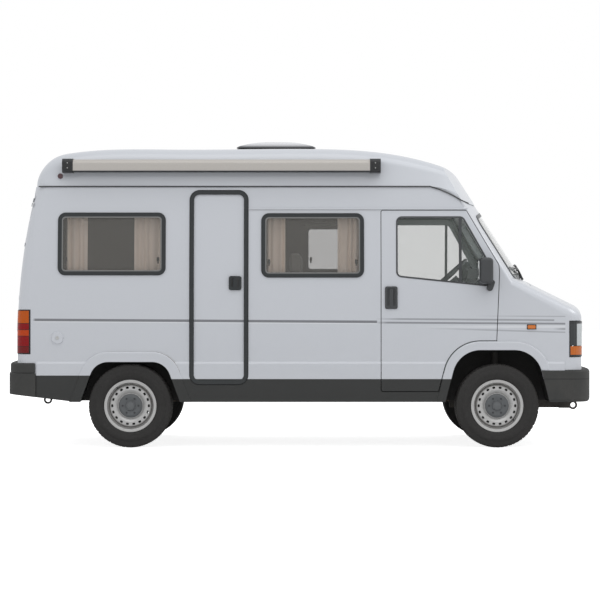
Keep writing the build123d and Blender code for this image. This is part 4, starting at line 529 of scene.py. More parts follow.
def skin_y(z, proud=0.0):
    """Distance of the body side from the middle at height z: upright, then leaning in."""
    if z <= SKIN_KNEE:
        return BODY_HALF + proud
    curve = SKIN_CURVE + proud
    return BODY_HALF + proud - (curve - math.sqrt(curve ** 2 - (z - SKIN_KNEE) ** 2))


def block(bm, middle, size, bevel=0.0, steps=3):
    """Add a box by its middle and size, with rounded edges."""
    verts = bmesh.ops.create_cube(bm, size=1, matrix=shift(*middle) @ stretch(*size))["verts"]
    if bevel:
        edges = list({edge for vert in verts for edge in vert.link_edges})
        bmesh.ops.bevel(bm, geom=edges, offset=bevel, segments=steps, affect="EDGES", profile=0.5,
                        material=-1)
    return bm


filler_bm = spun([(0.0, 0.0), (0.0, 0.0130), (0.0015, 0.0140), (0.0030, 0.0130), (0.0030, 0.0090),
                  (0.0018, 0.0085), (0.0018, 0.0)], 32)
piece("filler_lock", settled(filler_bm, shift(*FILLER_AT) @ stretch(1, -1, 1)), bright_zinc, "body")
black_plastic = finish_of("black_plastic", (0.018, 0.019, 0.020), 0.42, scale=500, contrast=0.15, bump=0.15)
for side, side_name in SIDES:
    base_bm = block(bmesh.new(), (1.847, side * 0.9675, 0.9635), (0.076, 0.006, 0.040), 0.0025)
    piece("repeater_base_" + side_name, base_bm, black_plastic, "body")

# ---------------------------------------------------------------- moulded high roof
# One glass-fibre moulding with a body-coloured gel coat, bonded to the cut-down steel
# sides. The hatch is a vacuum-formed grey dome on a black gasket, hinged at its rear.
DOME_LOW = 2.440
DOME_CLEAR = 2.474
dress(van_paint("roof_gelcoat", (0.590, 0.612, 0.650), lined=False, sill=False, rough=0.30), "high_roof")
dress(finish_of("hatch_gasket", (0.10, 0.10, 0.10), 0.6, scale=200), "hatch_frame")
dome = finish_of("hatch_dome", (0.62, 0.63, 0.66), 0.24, contrast=0.05, bump=0.03, coat=0.6, film_amount=0.1)
tree, shader, color = opened(dome)
# The dome is painted darker towards its foot: painted shade, darkest where it meets the gasket.
dome_foot_painted_shade = spread(tree, axes(tree)[3], DOME_LOW, DOME_CLEAR, 1.0, 0.0)
feed(tree, shader, Base_Color=tint(tree, color, dome_foot_painted_shade, (0.035, 0.036, 0.040)))
dress(dome, "hatch_dome")
# The dark strip under the roof's lip, along the steel-to-moulding joint, is a painted shadow of the lip.
JOINT_LINE = ((-2.085, 2.0900), (1.043, 2.0900), (1.120, 2.0660), (1.180, 2.0400), (1.230, 2.0150),
              (1.290, 1.9800), (1.350, 1.9540))
JOINT_H = 0.0100
JOINT_PROUD = (-0.004, 0.0105)
roof_lip_shadow_paint = finish_of("painted_roof_lip_shadow", (0.055, 0.056, 0.058), 0.6, scale=200, contrast=0.1, bump=0.1)
for side, side_name in SIDES:
    strip_bm = bmesh.new()
    for (x0, z0), (x1, z1) in zip(JOINT_LINE, JOINT_LINE[1:]):
        corners = [strip_bm.verts.new((x, side * skin_y(z, proud), z)) for proud in JOINT_PROUD
                   for x, z in ((x0, z0 - JOINT_H), (x1, z1 - JOINT_H), (x1, z1), (x0, z0))]
        for loop in ((4, 5, 6, 7), (0, 1, 5, 4), (3, 2, 6, 7), (0, 1, 2, 3)):
            bmesh.ops.contextual_create(strip_bm, geom=[corners[n] for n in loop])
    for x, z in (JOINT_LINE[0], JOINT_LINE[-1]):
        end_verts = [vert for vert in strip_bm.verts if abs(vert.co.x - x) < 1e-5]
        bmesh.ops.contextual_create(strip_bm, geom=end_verts)
    bmesh.ops.remove_doubles(strip_bm, verts=strip_bm.verts[:], dist=1e-5)
    piece("roof_lip_shadow_strip_" + side_name, faced(strip_bm), roof_lip_shadow_paint, "body", smooth=0)

# ---------------------------------------------------------------- awning
# A roll-out awning in its closed case: a beige-grey anodised extrusion screwed to the
# roof edge, with a ribbed front rail and black moulded end caps.
AWNING_X = (-1.889, 0.646)
AWNING_CAP = 0.086
AWNING_FACE = -0.983
AWNING_SHADOW_TOP = 2.2065
AWNING_METAL = 0.35
CAP_MIDDLES = (AWNING_X[0] + AWNING_CAP / 2, AWNING_X[1] - AWNING_CAP / 2)
RAIL_LINE = ((-0.9800, 2.2060), (-0.9880, 2.2075), (-0.9905, 2.2120), (-0.9905, 2.2660), (-0.9880, 2.2715),
             (-0.9800, 2.2730))
anodised = finish_of("awning_anodised", (0.50, 0.475, 0.445), 0.42, scale=90, contrast=0.03, bump=0.06,
                     metal=AWNING_METAL)
tree, shader, color = opened(anodised)
_, x, _, z = axes(tree)
ends_dark = calc(tree, "ADD", mask_where(tree, x, -9, AWNING_X[0] + AWNING_CAP),
                 mask_where(tree, x, AWNING_X[1] - AWNING_CAP, 9), clamp=True)
# Under the case and along the foot of its face it is painted near-black: a painted shadow line.
dark = calc(tree, "ADD", ends_dark, mask_where(tree, z, 0.0, AWNING_SHADOW_TOP, 0.001), clamp=True)
feed(tree, shader, Base_Color=tint(tree, color, dark, (0.020, 0.021, 0.023)),
     Metallic=spread(tree, dark, 0.0, 1.0, AWNING_METAL, 0.0))
dress(anodised, "awning")


def pull(bm, *by):
    """Thicken a mesh of flat faces."""
    pulled = bmesh.ops.extrude_face_region(bm, geom=bm.faces[:], use_keep_orig=True)["geom"]
    bmesh.ops.translate(bm, verts=[part for part in pulled if isinstance(part, bmesh.types.BMVert)], vec=by)
    return bm


rail_bm = bmesh.new()
rail_bm.faces.new([rail_bm.verts.new((AWNING_X[0] + AWNING_CAP, y, z)) for y, z in RAIL_LINE])
pull(rail_bm, AWNING_X[1] - AWNING_X[0] - 2 * AWNING_CAP, 0, 0)
piece("awning_front_rail", faced(rail_bm), anodised, "body", smooth=20)
boss_bm, screw_bm = bmesh.new(), bmesh.new()
for x in CAP_MIDDLES:
    block(boss_bm, (x, AWNING_FACE - 0.008, 2.2480), (0.046, 0.012, 0.070), 0.005)
    for z in (2.228, 2.268):
        bmesh.ops.create_cone(screw_bm, cap_ends=True, segments=20, radius1=0.0050, radius2=0.0038,
                              depth=0.0026, matrix=shift(x, AWNING_FACE - 0.0150, z) @ turn(90, "X"))
piece("awning_cap_bosses", boss_bm, black_plastic, "body")
piece("awning_cap_screws", screw_bm, bright_zinc, "body")

# ---------------------------------------------------------------- living-space windows
# Double acrylic panes tinted brown-grey, clamped in black rubber frames with a bright
# inner bead. The windscreen is clear laminated glass in a black rubber surround.
TINT_END_X = 0.70
TINTED_COVER = 0.27
CLEAR_COVER = 0.16
CLEAR_GREEN = (0.30, 0.33, 0.31)
FRAME_W = 0.032
# Each window: side, then its rear, front, lower and upper edge.
SIDE_WINDOWS = {"right_rear": (-1, -1.927, -1.067, 1.374, 1.876),
                "right_middle": (-1, -0.306, 0.514, 1.356, 1.871),
                "left_middle": (1, 0.030, 0.580, 1.410, 1.840)}
frame_rubber = finish_of("frame_rubber", (0.018, 0.022, 0.024), 0.32, scale=140, contrast=0.15, bump=0.15,
                         film_amount=0.05)
dress(frame_rubber, "window_frames")


def glass_of(name, color, cover):
    """Glass: a dark or pale film that lets most of what is behind show through."""
    made = bpy.data.materials.new(name)
    made.use_nodes = True
    tree = made.node_tree
    place = put(tree, "TexCoord").outputs["Object"]
    mottled = put(tree, "Group", node_tree=grain, Color=(*color, 1), Vector=place, Scale=3.0, Contrast=0.08,
                  Rough=0.03, Rough_Spread=0.02).outputs
    feed(tree, tree.nodes["Principled BSDF"], Metallic=0.0, Transmission_Weight=0.0, IOR=1.45, Alpha=cover,
         Base_Color=mottled["Color"], Roughness=mottled["Rough"])
    return made


glazing_glass = glass_of("glazing_glass", CLEAR_GREEN, CLEAR_COVER)
tree, shader, color = opened(glazing_glass)
tinted = mask_where(tree, axes(tree)[1], -9.0, TINT_END_X)
feed(tree, shader, Base_Color=tint(tree, color, tinted, (0.235, 0.228, 0.212)),
     Alpha=spread(tree, tinted, 0.0, 1.0, CLEAR_COVER, TINTED_COVER))
dress(glazing_glass, "glazing")


def lie_on_skin(bm, side):
    """Bend a piece built flat in the XZ plane onto the leaning body side."""
    for vert in bm.verts:
        vert.co.y = side * skin_y(vert.co.z, vert.co.y)
    return faced(bm)


def cut_across(bm, axis, levels):
    """Cut a mesh through at several levels, so that it can bend."""
    normal = Vector([float(n == axis) for n in range(3)])
    for level in levels:
        bmesh.ops.bisect_plane(bm, geom=bm.verts[:] + bm.edges[:] + bm.faces[:],
                               plane_co=normal * level, plane_no=normal)


def rounded_plate(width, height, radius, steps):
    """A flat rectangle with round corners."""
    bm = bmesh.new()
    bmesh.ops.create_grid(bm, x_segments=1, y_segments=1, size=0.5)
    bmesh.ops.scale(bm, verts=bm.verts[:], vec=(width, height, 1))
    bmesh.ops.bevel(bm, geom=bm.verts[:], offset=radius, segments=steps, affect="VERTICES", profile=0.5,
                    material=-1)
    return bm


def rounded_ring(x0, x1, z0, z1, radius, width, low, high, cuts=10):
    """A rounded rectangular ring: outer box, corner radius, bar width, lowest and highest face."""
    bm = rounded_plate(x1 - x0, z1 - z0, radius, 8)
    bmesh.ops.inset_region(bm, faces=bm.faces[:], thickness=width, use_boundary=True, use_even_offset=True)
    inner = max(bm.faces, key=lambda face: len(face.verts))
    bmesh.ops.delete(bm, geom=[inner], context="FACES_ONLY")
    pull(bm, 0, 0, high - low)
    bmesh.ops.translate(bm, verts=bm.verts[:], vec=((x0 + x1) / 2, (z0 + z1) / 2, low))
    cut_across(bm, 1, [z0 + (z1 - z0) * n / cuts for n in range(1, cuts)])
    return settled(bm, Matrix(((1, 0, 0, 0), (0, 0, 1, 0), (0, 1, 0, 0), (0, 0, 0, 1))))


bead_metal = finish_of("window_bead", (0.190, 0.190, 0.186), 0.34, scale=160, contrast=0.1, bump=0.05,
                       metal=0.15)
latch_black = finish_of("latch_black", (0.016, 0.016, 0.017), 0.4, scale=300, bump=0.1)
for window, (side, x0, x1, z0, z1) in SIDE_WINDOWS.items():
    latch_bm = bmesh.new()
    for x in (x0 + FRAME_W + 0.030, x1 - FRAME_W - 0.030):
        block(latch_bm, (x, -0.0125, z0 + 0.128), (0.022, 0.008, 0.034), 0.003)
        block(latch_bm, (x, -0.0210, z0 + 0.120), (0.012, 0.014, 0.052), 0.003)
    for label, inset, ring, material in (
            ("window_bead_", FRAME_W - 0.002, (0.036, 0.012, 0.0035, 0.0110), bead_metal),
            ("window_seal_lip_", 0.010, (0.054, 0.004, 0.0110, 0.0135), frame_rubber)):
        ring_bm = rounded_ring(x0 + inset, x1 - inset, z0 + inset, z1 - inset, *ring)
        piece(label + window, lie_on_skin(ring_bm, side), material, "body")
    piece("window_latches_" + window, lie_on_skin(latch_bm, side), latch_black, "body")

# ---------------------------------------------------------------- curtains
# Beige cotton curtains gathered on tape and tied back to each end of the windows. They
# run on plastic-coated steel rails screwed inside the body sides.
# Each curtain: side, then its rear, front, lower and upper edge.
CURTAINS = {"right_rear_a": (-1, -1.866, -1.692, 1.375, 1.868),
            "right_rear_b": (-1, -1.326, -1.104, 1.375, 1.868),
            "right_middle_a": (-1, -0.268, -0.110, 1.360, 1.862),
            "right_middle_b": (-1, 0.300, 0.478, 1.360, 1.862),
            "left_middle": (1, 0.420, 0.560, 1.415, 1.832)}
CURTAIN_IN = 0.069
FOLD_PITCH = 0.050
curtain_cloth = finish_of("curtain_cloth", (0.88, 0.745, 0.645), 0.9, scale=900, contrast=0.12, bump=0.4,
                          grain_depth=0.0004)
tree, shader, _ = opened(curtain_cloth)
shader.inputs["Sheen Weight"].default_value = 0.25
place = put(tree, "TexCoord").outputs["Object"]
for axis, pitch in (("X", 4200.0), ("Z", 3800.0)):
    weave = put(tree, "TexWave", bands_direction=axis, Vector=place, Scale=pitch / 6.283, Distortion=1.5,
                Detail=1.0)
    weave_bump = put(tree, "Bump", Strength=0.3, Distance=0.0003, Height=weave.outputs["Fac"],
                     Normal=into(tree, shader, "Normal"))
    feed(tree, shader, Normal=weave_bump.outputs[0])
for number, (name, (side, x0, x1, z0, z1)) in enumerate(CURTAINS.items()):
    curtain_bm = bmesh.new()
    bmesh.ops.create_grid(curtain_bm, x_segments=72, y_segments=30, size=0.5)
    folds = (x1 - x0) / FOLD_PITCH
    for vert in curtain_bm.verts:
        across, up = vert.co.x + 0.5, vert.co.y + 0.5
        drift = 0.10 * math.sin(3.1 * up + number) + 0.05 * math.sin(7.3 * up + 2 * number)
        swell = 0.0095 + 0.0030 * math.sin(5 * across + 1.7 * number) - 0.0025 * up
        phase = across + 0.05 * math.sin(9 * across + 2.3 * number) + 0.06 * drift
        depth = swell * math.sin(2 * math.pi * folds * phase) + 0.0015 * math.sin(17 * across + up)
        sway = 0.012 * math.sin(6.0 * up + number) * math.sin(math.pi * across)
        x = x0 + 0.004 + (x1 - x0 - 0.008) * (across + sway)
        z = z0 + 0.003 + (z1 - z0 - 0.006) * up
        vert.co = (x, side * skin_y(z, -CURTAIN_IN + depth), z)
    cloth_area = sum(face.calc_area() for face in curtain_bm.faces)
    curtain = piece("curtain_" + name, curtain_bm, curtain_cloth, "body", smooth=180)
    if side < 0:
        curtain.data.flip_normals()
    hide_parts("curtains")
rail_white = finish_of("curtain_rail", (0.42, 0.38, 0.33), 0.4, scale=120, bump=0.05)
for window, (side, x0, x1, z0, z1) in SIDE_WINDOWS.items():
    for label, z in (("curtain_rail_", z1 - 0.004), ("curtain_cord_rail_", z0 + 0.0005)):
        rail_bm = block(bmesh.new(), ((x0 + x1) / 2, side * skin_y(z, -CURTAIN_IN), z),
                        (x1 - x0 - 0.02, 0.020, 0.010), 0.0025)
        piece(label + window, rail_bm, rail_white, "body")

# ---------------------------------------------------------------- wipers
# Two steel wiper arms, lacquered black, lie low on the windscreen with rubber blades.
# Their pivots are at the foot of the screen.
dress(black_plastic, "wipers")

# ---------------------------------------------------------------- cab doors
# The door skins are painted with the body. Mirrors and handles are grained black
# plastic, each lock is a zinc barrel, and the drop glass is clear with a faint green tint.
grained_black = finish_of("grained_black", (0.050, 0.053, 0.056), 0.50, scale=260, contrast=0.12, bump=0.3,
                          film_amount=0.15)
dress(grained_black, "cab_door_fittings_right", "cab_door_fittings_left")
dress(glass_of("cab_glass", CLEAR_GREEN, CLEAR_COVER),
      "cab_glass_right", "cab_glass_left", "rear_glass_right", "rear_glass_left")
# Bulb seals are extruded rubber pushed on to the edge of each opening, behind the door's
# outer lap, from the rear post over the head and down the front pillar.
SEAL_NEAR, SEAL_DEEP = 0.0150, 0.0250
SEAL_W = 0.014
SEAL_FOOT = 1.000
CAB_OPENING = ((0.645, SEAL_FOOT), (0.645, 1.899), (1.333, 1.899), (1.5918, 1.4602), (1.597, 1.400),
               (1.580, SEAL_FOOT))
for side, side_name in SIDES:
    bulb_bm = bmesh.new()
    bulb_bm.faces.new([bulb_bm.verts.new((x, z, 0)) for x, z in CAB_OPENING])
    bulb_bm.normal_update()
    bmesh.ops.inset_region(bulb_bm, faces=bulb_bm.faces[:], thickness=SEAL_W, use_boundary=True,
                           use_even_offset=True)
    middle_face = max(bulb_bm.faces, key=lambda face: face.calc_area())
    bmesh.ops.delete(bulb_bm, geom=[middle_face], context="FACES_ONLY")
    foot = [face for face in bulb_bm.faces if face.calc_center_median().y < SEAL_FOOT + SEAL_W]
    bmesh.ops.delete(bulb_bm, geom=foot, context="FACES")
    pull(bulb_bm, 0, 0, SEAL_DEEP - SEAL_NEAR)
    cut_across(bulb_bm, 1, [SEAL_FOOT + 0.09 * n for n in range(1, 10)])
    for vert in bulb_bm.verts:
        x, z, depth = vert.co
        vert.co = (x, side * skin_y(z, -SEAL_NEAR - depth), z)
    piece("cab_door_seal_" + side_name, faced(bulb_bm), frame_rubber, "body", smooth=40)
mirror_silver = finish_of("mirror_silver", (0.75, 0.77, 0.78), 0.04, scale=20, contrast=0.01, uneven=0.02,
                          bump=0.0, metal=1.0)
for side, side_name in SIDES:
    mirror_bm = pull(rounded_plate(0.150, 0.112, 0.018, 5), 0, 0, 0.003)
    lock_bm = spun([(0.0, 0.0), (0.0, 0.0085), (0.0030, 0.0085), (0.0042, 0.0070), (0.0042, 0.0)], 24)
    lever_at = (0.733, side * (skin_y(1.205) + 0.009), 1.208)
    lever_bm = block(bmesh.new(), lever_at, (0.034, 0.010, 0.088), 0.0045, 4)
    mirror_at = shift(1.4185, side * 1.0775, 1.411) @ turn(-90, "Y")
    lock_at = shift(0.732, side * (skin_y(1.127) + 0.004), 1.127) @ stretch(1, side, 1)
    for label, part_bm, material, slot in (
            ("mirror_glass_", settled(mirror_bm, mirror_at), mirror_silver, "glass"),
            ("cab_lock_", settled(lock_bm, lock_at), bright_zinc, "small_plastic"),
            ("cab_door_lever_", lever_bm, black_plastic, "small_plastic")):
        piece(label + side_name, part_bm, material, "cab_door_" + side_name)

# ---------------------------------------------------------------- entry door
# An aluminium-skinned door painted with the body, sealed by a black rubber section all
# round. Its latch is a black pull with a small lock, and its hinges sit along the rear.
ENTRY_X = (-0.873, -0.413)
ENTRY_Z = (0.508, 2.051)
ENTRY_GAP = 0.0080
LOCK_Z = 1.287
PULL_Z = 1.315
LOCK_PROFILE = [(0.0, 0.0), (0.0, 0.0080), (0.0030, 0.0080), (0.0040, 0.0065), (0.0040, 0.0)]
dress(frame_rubber, "entry_door_fittings")
entry_lock_at = shift(-0.521, -skin_y(LOCK_Z) - 0.006, LOCK_Z) @ stretch(1, -1, 1)
piece("entry_lock", settled(spun(LOCK_PROFILE, 24), entry_lock_at), bright_zinc, "entry_door")
pull_bm, hinge_bm = bmesh.new(), bmesh.new()
for x, size in ((-0.500, (0.036, 0.012, 0.078)), (-0.540, (0.022, 0.006, 0.086))):
    block(pull_bm, (x, -skin_y(PULL_Z) - 0.008 - size[1] / 2, PULL_Z), size, 0.003)
for z in (0.760, 1.300, 1.830):
    block(hinge_bm, (ENTRY_X[0] + 0.0160, -skin_y(z) - 0.0120, z), (0.010, 0.008, 0.060), 0.003)
entry_bulb_bm = rounded_ring(ENTRY_X[0] - ENTRY_GAP, ENTRY_X[1] + ENTRY_GAP, ENTRY_Z[0] - ENTRY_GAP,
                             ENTRY_Z[1] + ENTRY_GAP, 0.083, SEAL_W, -SEAL_DEEP, -SEAL_NEAR, cuts=24)
piece("entry_latch_pull", pull_bm, black_plastic, "entry_door")
piece("entry_opening_seal", lie_on_skin(entry_bulb_bm, -1), frame_rubber, "body", smooth=40)
piece("entry_door_hinge_covers", hinge_bm, frame_rubber, "entry_door")

# ---------------------------------------------------------------- rear doors
# Twin steel doors on flat hinge leaves set close to the corner, painted with the body. The right
# door carries the pull handle and the left one the blank number plate and its lamp.
REAR_X = -2.255
REAR_KNEE, REAR_CURVE = 0.850, 5.290
LEAF_PROUD = 0.0020
LIP_Z = (0.702, 2.033)


def rear_x(z):
    """The rear face at height z: upright to the knee, then leaning forward."""
    if z <= REAR_KNEE:
        return REAR_X
    return REAR_X + REAR_CURVE - math.sqrt(REAR_CURVE ** 2 - (z - REAR_KNEE) ** 2)


def boxes(*rows):
    """A mesh of boxes, each from its low corner to its high one, with an edge radius and its steps."""
    bm = bmesh.new()
    for low, high, *edge in rows:
        block(bm, [(a + b) / 2 for a, b in zip(low, high)], [b - a for a, b in zip(low, high)], *edge)
    return bm


def lie_on_rear(bm):
    """Bend a piece built flat in the XZ plane onto the rear face, its x read as y."""
    for vert in bm.verts:
        across, proud, up = vert.co
        vert.co = (rear_x(up) - proud, across, up)
    return faced(bm)


rear_seal = finish_of("rear_glass_seal", (0.024, 0.026, 0.028), 0.5, scale=150, bump=0.15)
plate_pale = finish_of("plate_pale", (0.60, 0.60, 0.57), 0.32, scale=400, contrast=0.04, bump=0.08,
                       film_amount=0.3)
for side, side_name in SIDES:
    for label, body, near, far, foot, top in (
            ("leaves_", "rear_door_" + side_name, 0.775, 0.852, 0.003, 0.034),
            ("brackets_", "body", 0.862, 0.880, -0.034, -0.003)):
        y0, y1 = sorted((side * near, side * far))
        half_bm = boxes(*[((y0, -0.004, z + foot), (y1, LEAF_PROUD, z + top), 0.0018)
                          for z in (1.215, 1.640, 1.960)])
        piece("rear_hinge_" + label + side_name, lie_on_rear(half_bm), nose_paint, body)
for side, side_name in SIDES:
    y0, y1 = sorted((side * 0.110, side * 0.740))
    seal_bm = rounded_ring(y0 - 0.014, y1 + 0.014, 1.316, 1.864, 0.058, 0.026, -0.0075, 0.0045)
    piece("rear_glass_seal_" + side_name, lie_on_rear(seal_bm), rear_seal, "rear_door_" + side_name)
# Bulb seal on the edge of the rear opening, behind the doors' outer lap, and a lip seal
# on the left door that closes the gap where the two doors meet.
rear_bulb_bm = rounded_ring(-0.866, 0.866, 0.682, 2.053, 0.068, 0.015, -SEAL_DEEP, -SEAL_NEAR)
piece("rear_opening_seal", lie_on_rear(rear_bulb_bm), rear_seal, "body", smooth=40)
lip_bm = boxes(((-0.011, -SEAL_DEEP, LIP_Z[0]), (0.018, -SEAL_NEAR, LIP_Z[1]), 0.002))
cut_across(lip_bm, 2, [LIP_Z[0] + n * 0.0887 for n in range(1, 15)])
piece("rear_door_lip_seal", lie_on_rear(lip_bm), rear_seal, "rear_door_left", smooth=40)
handle_bm = boxes(((REAR_X - 0.010, -0.100, 0.985), (REAR_X + 0.009, -0.040, 1.135), 0.006),
                  ((REAR_X - 0.021, -0.086, 1.040), (REAR_X - 0.009, -0.054, 1.125), 0.005))
rear_lock_bm = spun([(0.0, 0.0), (0.0, 0.0080), (0.0030, 0.0080), (0.0042, 0.0065), (0.0042, 0.0)], 24)
rear_lock_at = shift(REAR_X - 0.010, -0.070, 1.012) @ turn(90, "Z")
plate_bm = boxes(((REAR_X - 0.006, 0.170, 0.722), (REAR_X + 0.0015, 0.690, 0.832), 0.0025))
plate_rim_bm = rounded_ring(0.166, 0.694, 0.718, 0.836, 0.010, 0.007, -0.002, 0.0085, cuts=2)
plate_lamp_bm = boxes(((REAR_X - 0.026, 0.380, 0.846), (REAR_X + 0.005, 0.480, 0.878), 0.007))
for name, part_bm, material, side_name in (
        ("rear_door_handle", handle_bm, black_plastic, "right"),
        ("rear_door_lock", settled(rear_lock_bm, rear_lock_at), bright_zinc, "right"),
        ("rear_plate_blank", plate_bm, plate_pale, "left"),
        ("rear_plate_holder", lie_on_rear(plate_rim_bm), black_plastic, "left"),
        ("plate_lamp_housing", plate_lamp_bm, black_plastic, "left")):
    piece(name, part_bm, material, "rear_door_" + side_name)

# ---------------------------------------------------------------- lamps
# Headlamps have ribbed clear lenses over bright reflectors, with an amber indicator below
# and a grey moulded shell round the corner. Tail lamps are moulded in coloured bands.
LAMP_EDGE = (0.020, 0.022, 0.024)
TAIL_RED = (0.255, 0.002, 0.004)
TAIL_BANDS = ((0.0, 0.808, (0.160, 0.008, 0.008)), (0.808, 0.891, TAIL_RED),
              (0.891, 0.941, (0.490, 0.050, 0.003)), (0.941, 0.992, TAIL_RED),
              (0.992, 1.2, (0.500, 0.088, 0.003)))
TAIL_SHADE = (0.045, 0.012, 0.012)
TAIL_LINE = 0.0022
TAIL_EDGE = (0.030, 0.026, 0.026)


def ribbed(tree, shader, along, pitch, strength, depth):
    """Mould ribs into a lens."""
    wave = calc(tree, "SINE", calc(tree, "MULTIPLY", along, 2 * math.pi / pitch))
    feed(tree, shader, Normal=put(tree, "Bump", Strength=strength, Distance=depth, Height=wave).outputs[0])


headlamp_lens = finish_of("headlamp_lens", (0.52, 0.55, 0.56), 0.10, scale=260, contrast=0.05, uneven=0.05,
                          bump=0.05, coat=0.1)
tree, shader, where = zones(
    headlamp_lens, ((0.030, 0.034, 0.036), ("X", 0.0, 2.212, 0.002)),
    ((0.520, 0.120, 0.004), ("Z", 0.0, 0.812)),
    (LAMP_EDGE, ("X", 0.0, 2.157, 0.001)), (LAMP_EDGE, ("Z", 0.0, 0.7420, 0.001)),
    (LAMP_EDGE, ("Z", 0.9890, 2.0, 0.001)))
ribbed(tree, shader, where["Y"], 0.011, 0.7, 0.0012)
dress(headlamp_lens, "headlamps")
tail_lens = finish_of("tail_lamp_lens", (0.38, 0.016, 0.018), 0.16, scale=260, contrast=0.08, uneven=0.05,
                      bump=0.05)
tree, shader, where = zones(
    tail_lens, *[(shade, ("Z", low, high, 0.0012)) for low, high, shade in TAIL_BANDS],
    *[(TAIL_SHADE, ("Z", low - TAIL_LINE, low + TAIL_LINE, 0.0008)) for low, _, _ in TAIL_BANDS[1:]],
    *[(TAIL_EDGE, (axis, low, high, 0.0010))
      for axis, low, high in (("X", REAR_X + 0.1000, 9.0), ("Z", 0.0, 0.7560), ("Z", 1.0920, 9.0))])
shader.inputs["Specular IOR Level"].default_value = 0.25
ribbed(tree, shader, where["Z"], 0.0085, 0.6, 0.001)
dress(tail_lens, "tail_lamps")

# ---------------------------------------------------------------- grille and bumpers
# One moulded black grille between the headlamps, and wrap-round bumpers of coarse grey
# plastic screwed to the frame. The rear one has a ribbed tread on its step.
BUMPER_FRONT_X = 1.80
PLATE_FACE_X = 2.380
bumper_plastic = finish_of("bumper_plastic", (0.030, 0.031, 0.030), 0.66, scale=320, contrast=0.12,
                           bump=0.45, film_amount=0.12, grain_depth=0.0008)
# Two grooves across the front bumper's face are painted darker: painted shade in the grooves.
zones(bumper_plastic, *[((0.014, 0.014, 0.014), ("Z", low, high, 0.001), ("X", BUMPER_FRONT_X, 9.0))
                        for low, high in ((0.5455, 0.5525), (0.6165, 0.640))])
dress(bumper_plastic, "front_bumper", "rear_bumper")
dress(grained_black, "grille")
front_plate_bm = boxes(((2.3745, -0.260, 0.440), (2.3850, 0.260, 0.550), 0.0025))
piece("front_plate_blank", front_plate_bm, plate_pale, "body")
front_rim_bm = rounded_ring(-0.264, 0.264, 0.436, 0.554, 0.010, 0.007, -0.010, 0.0070, cuts=2)
for vert in front_rim_bm.verts:
    across, proud, up = vert.co
    vert.co = (PLATE_FACE_X + proud, across, up)
piece("front_plate_holder", faced(front_rim_bm), black_plastic, "body")
ribs = [-0.690 + n * 0.060 for n in range(24)]
tread_bm = boxes(*[((-2.3180, y, 0.6700), (-2.2700, y + 0.036, 0.6785), 0.0015, 2) for y in ribs])
piece("rear_step_tread", tread_bm, bumper_plastic, "body")

# ---------------------------------------------------------------- cab interior
# A grey moulded dashboard with four vents, a glove-box lid and two dials, a soft-rimmed
# steering wheel and a floor gear lever.
DIAL_TILT = 10.4
dash_grey = finish_of("dashboard_grey", (0.155, 0.165, 0.168), 0.65, scale=350, contrast=0.1, bump=0.35)
dress(dash_grey, "dashboard")
dress(finish_of("steering_wheel_grey", (0.075, 0.078, 0.080), 0.55, scale=500, contrast=0.1, bump=0.4),
      "steering_wheel")
dial_white = finish_of("dial_marks", (0.75, 0.75, 0.72), 0.5, scale=100)


def join(bm, part):
    """Add one mesh to another."""
    mesh = bpy.data.meshes.new("part")
    part.to_mesh(mesh)
    part.free()
    bm.from_mesh(mesh)
    bpy.data.meshes.remove(mesh)


dials_bm, marks_bm = bmesh.new(), bmesh.new()
for y in (0.372, 0.488):
    seat = shift(1.4195, y, 1.392) @ turn(DIAL_TILT - 90, "Y")
    join(dials_bm, settled(spun([(0.0015, 0.0), (0.0015, 0.0420), (0.0060, 0.0435), (0.0060, 0.0470),
                                 (-0.002, 0.0480)], 40), seat @ turn(90, "X")))
    for n in range(13):
        mark_at = seat @ turn(-130 + n * 260 / 12, "Z") @ shift(0.0350, 0, 0.0024)
        bmesh.ops.create_cube(marks_bm, size=1, matrix=mark_at @ stretch(0.0075, 0.0018, 0.0010))
vent_rows = []
for y in (-0.740, -0.120, 0.120, 0.760):
    vent_rows += [((1.3960, y - 0.075, 1.225), (1.4150, y + 0.075, 1.232), 0.002),
                  ((1.3935, y - 0.075, 1.290), (1.4100, y + 0.075, 1.297), 0.002)]
    vent_rows += [((1.3975, y - 0.072, z), (1.4110, y + 0.072, z + 0.0030), 0.001, 2)
                  for z in [1.2375 + n * 0.0105 for n in range(5)]]
    vent_rows += [((1.3945, y + end, 1.2265), (1.4130, y + end + 0.007, 1.2955), 0.002)
                  for end in (-0.075, 0.068)]
lid_bm = boxes(((1.4090, -0.640, 1.125), (1.4290, -0.230, 1.205), 0.008, 4))
lever_bm = spun([(0.0, 0.0), (0.0, 0.075), (0.012, 0.070), (0.060, 0.045), (0.120, 0.016), (0.150, 0.0085),
                 (0.440, 0.0070), (0.445, 0.0180), (0.470, 0.0235), (0.495, 0.0215), (0.510, 0.0)], 28)
lever_at = shift(1.300, 0.080, 0.500) @ turn(-12, "Y") @ turn(90, "X")
for name, part_bm, material, smooth in (
        ("dials", faced(dials_bm), black_plastic, 35), ("dial_marks", marks_bm, dial_white, 0),
        ("dashboard_vents", boxes(*vent_rows), black_plastic, 35), ("glove_box_lid", lid_bm, dash_grey, 35),
        ("gear_lever", settled(lever_bm, lever_at), black_plastic, 35)):
    piece(name, part_bm, material, "body", smooth)

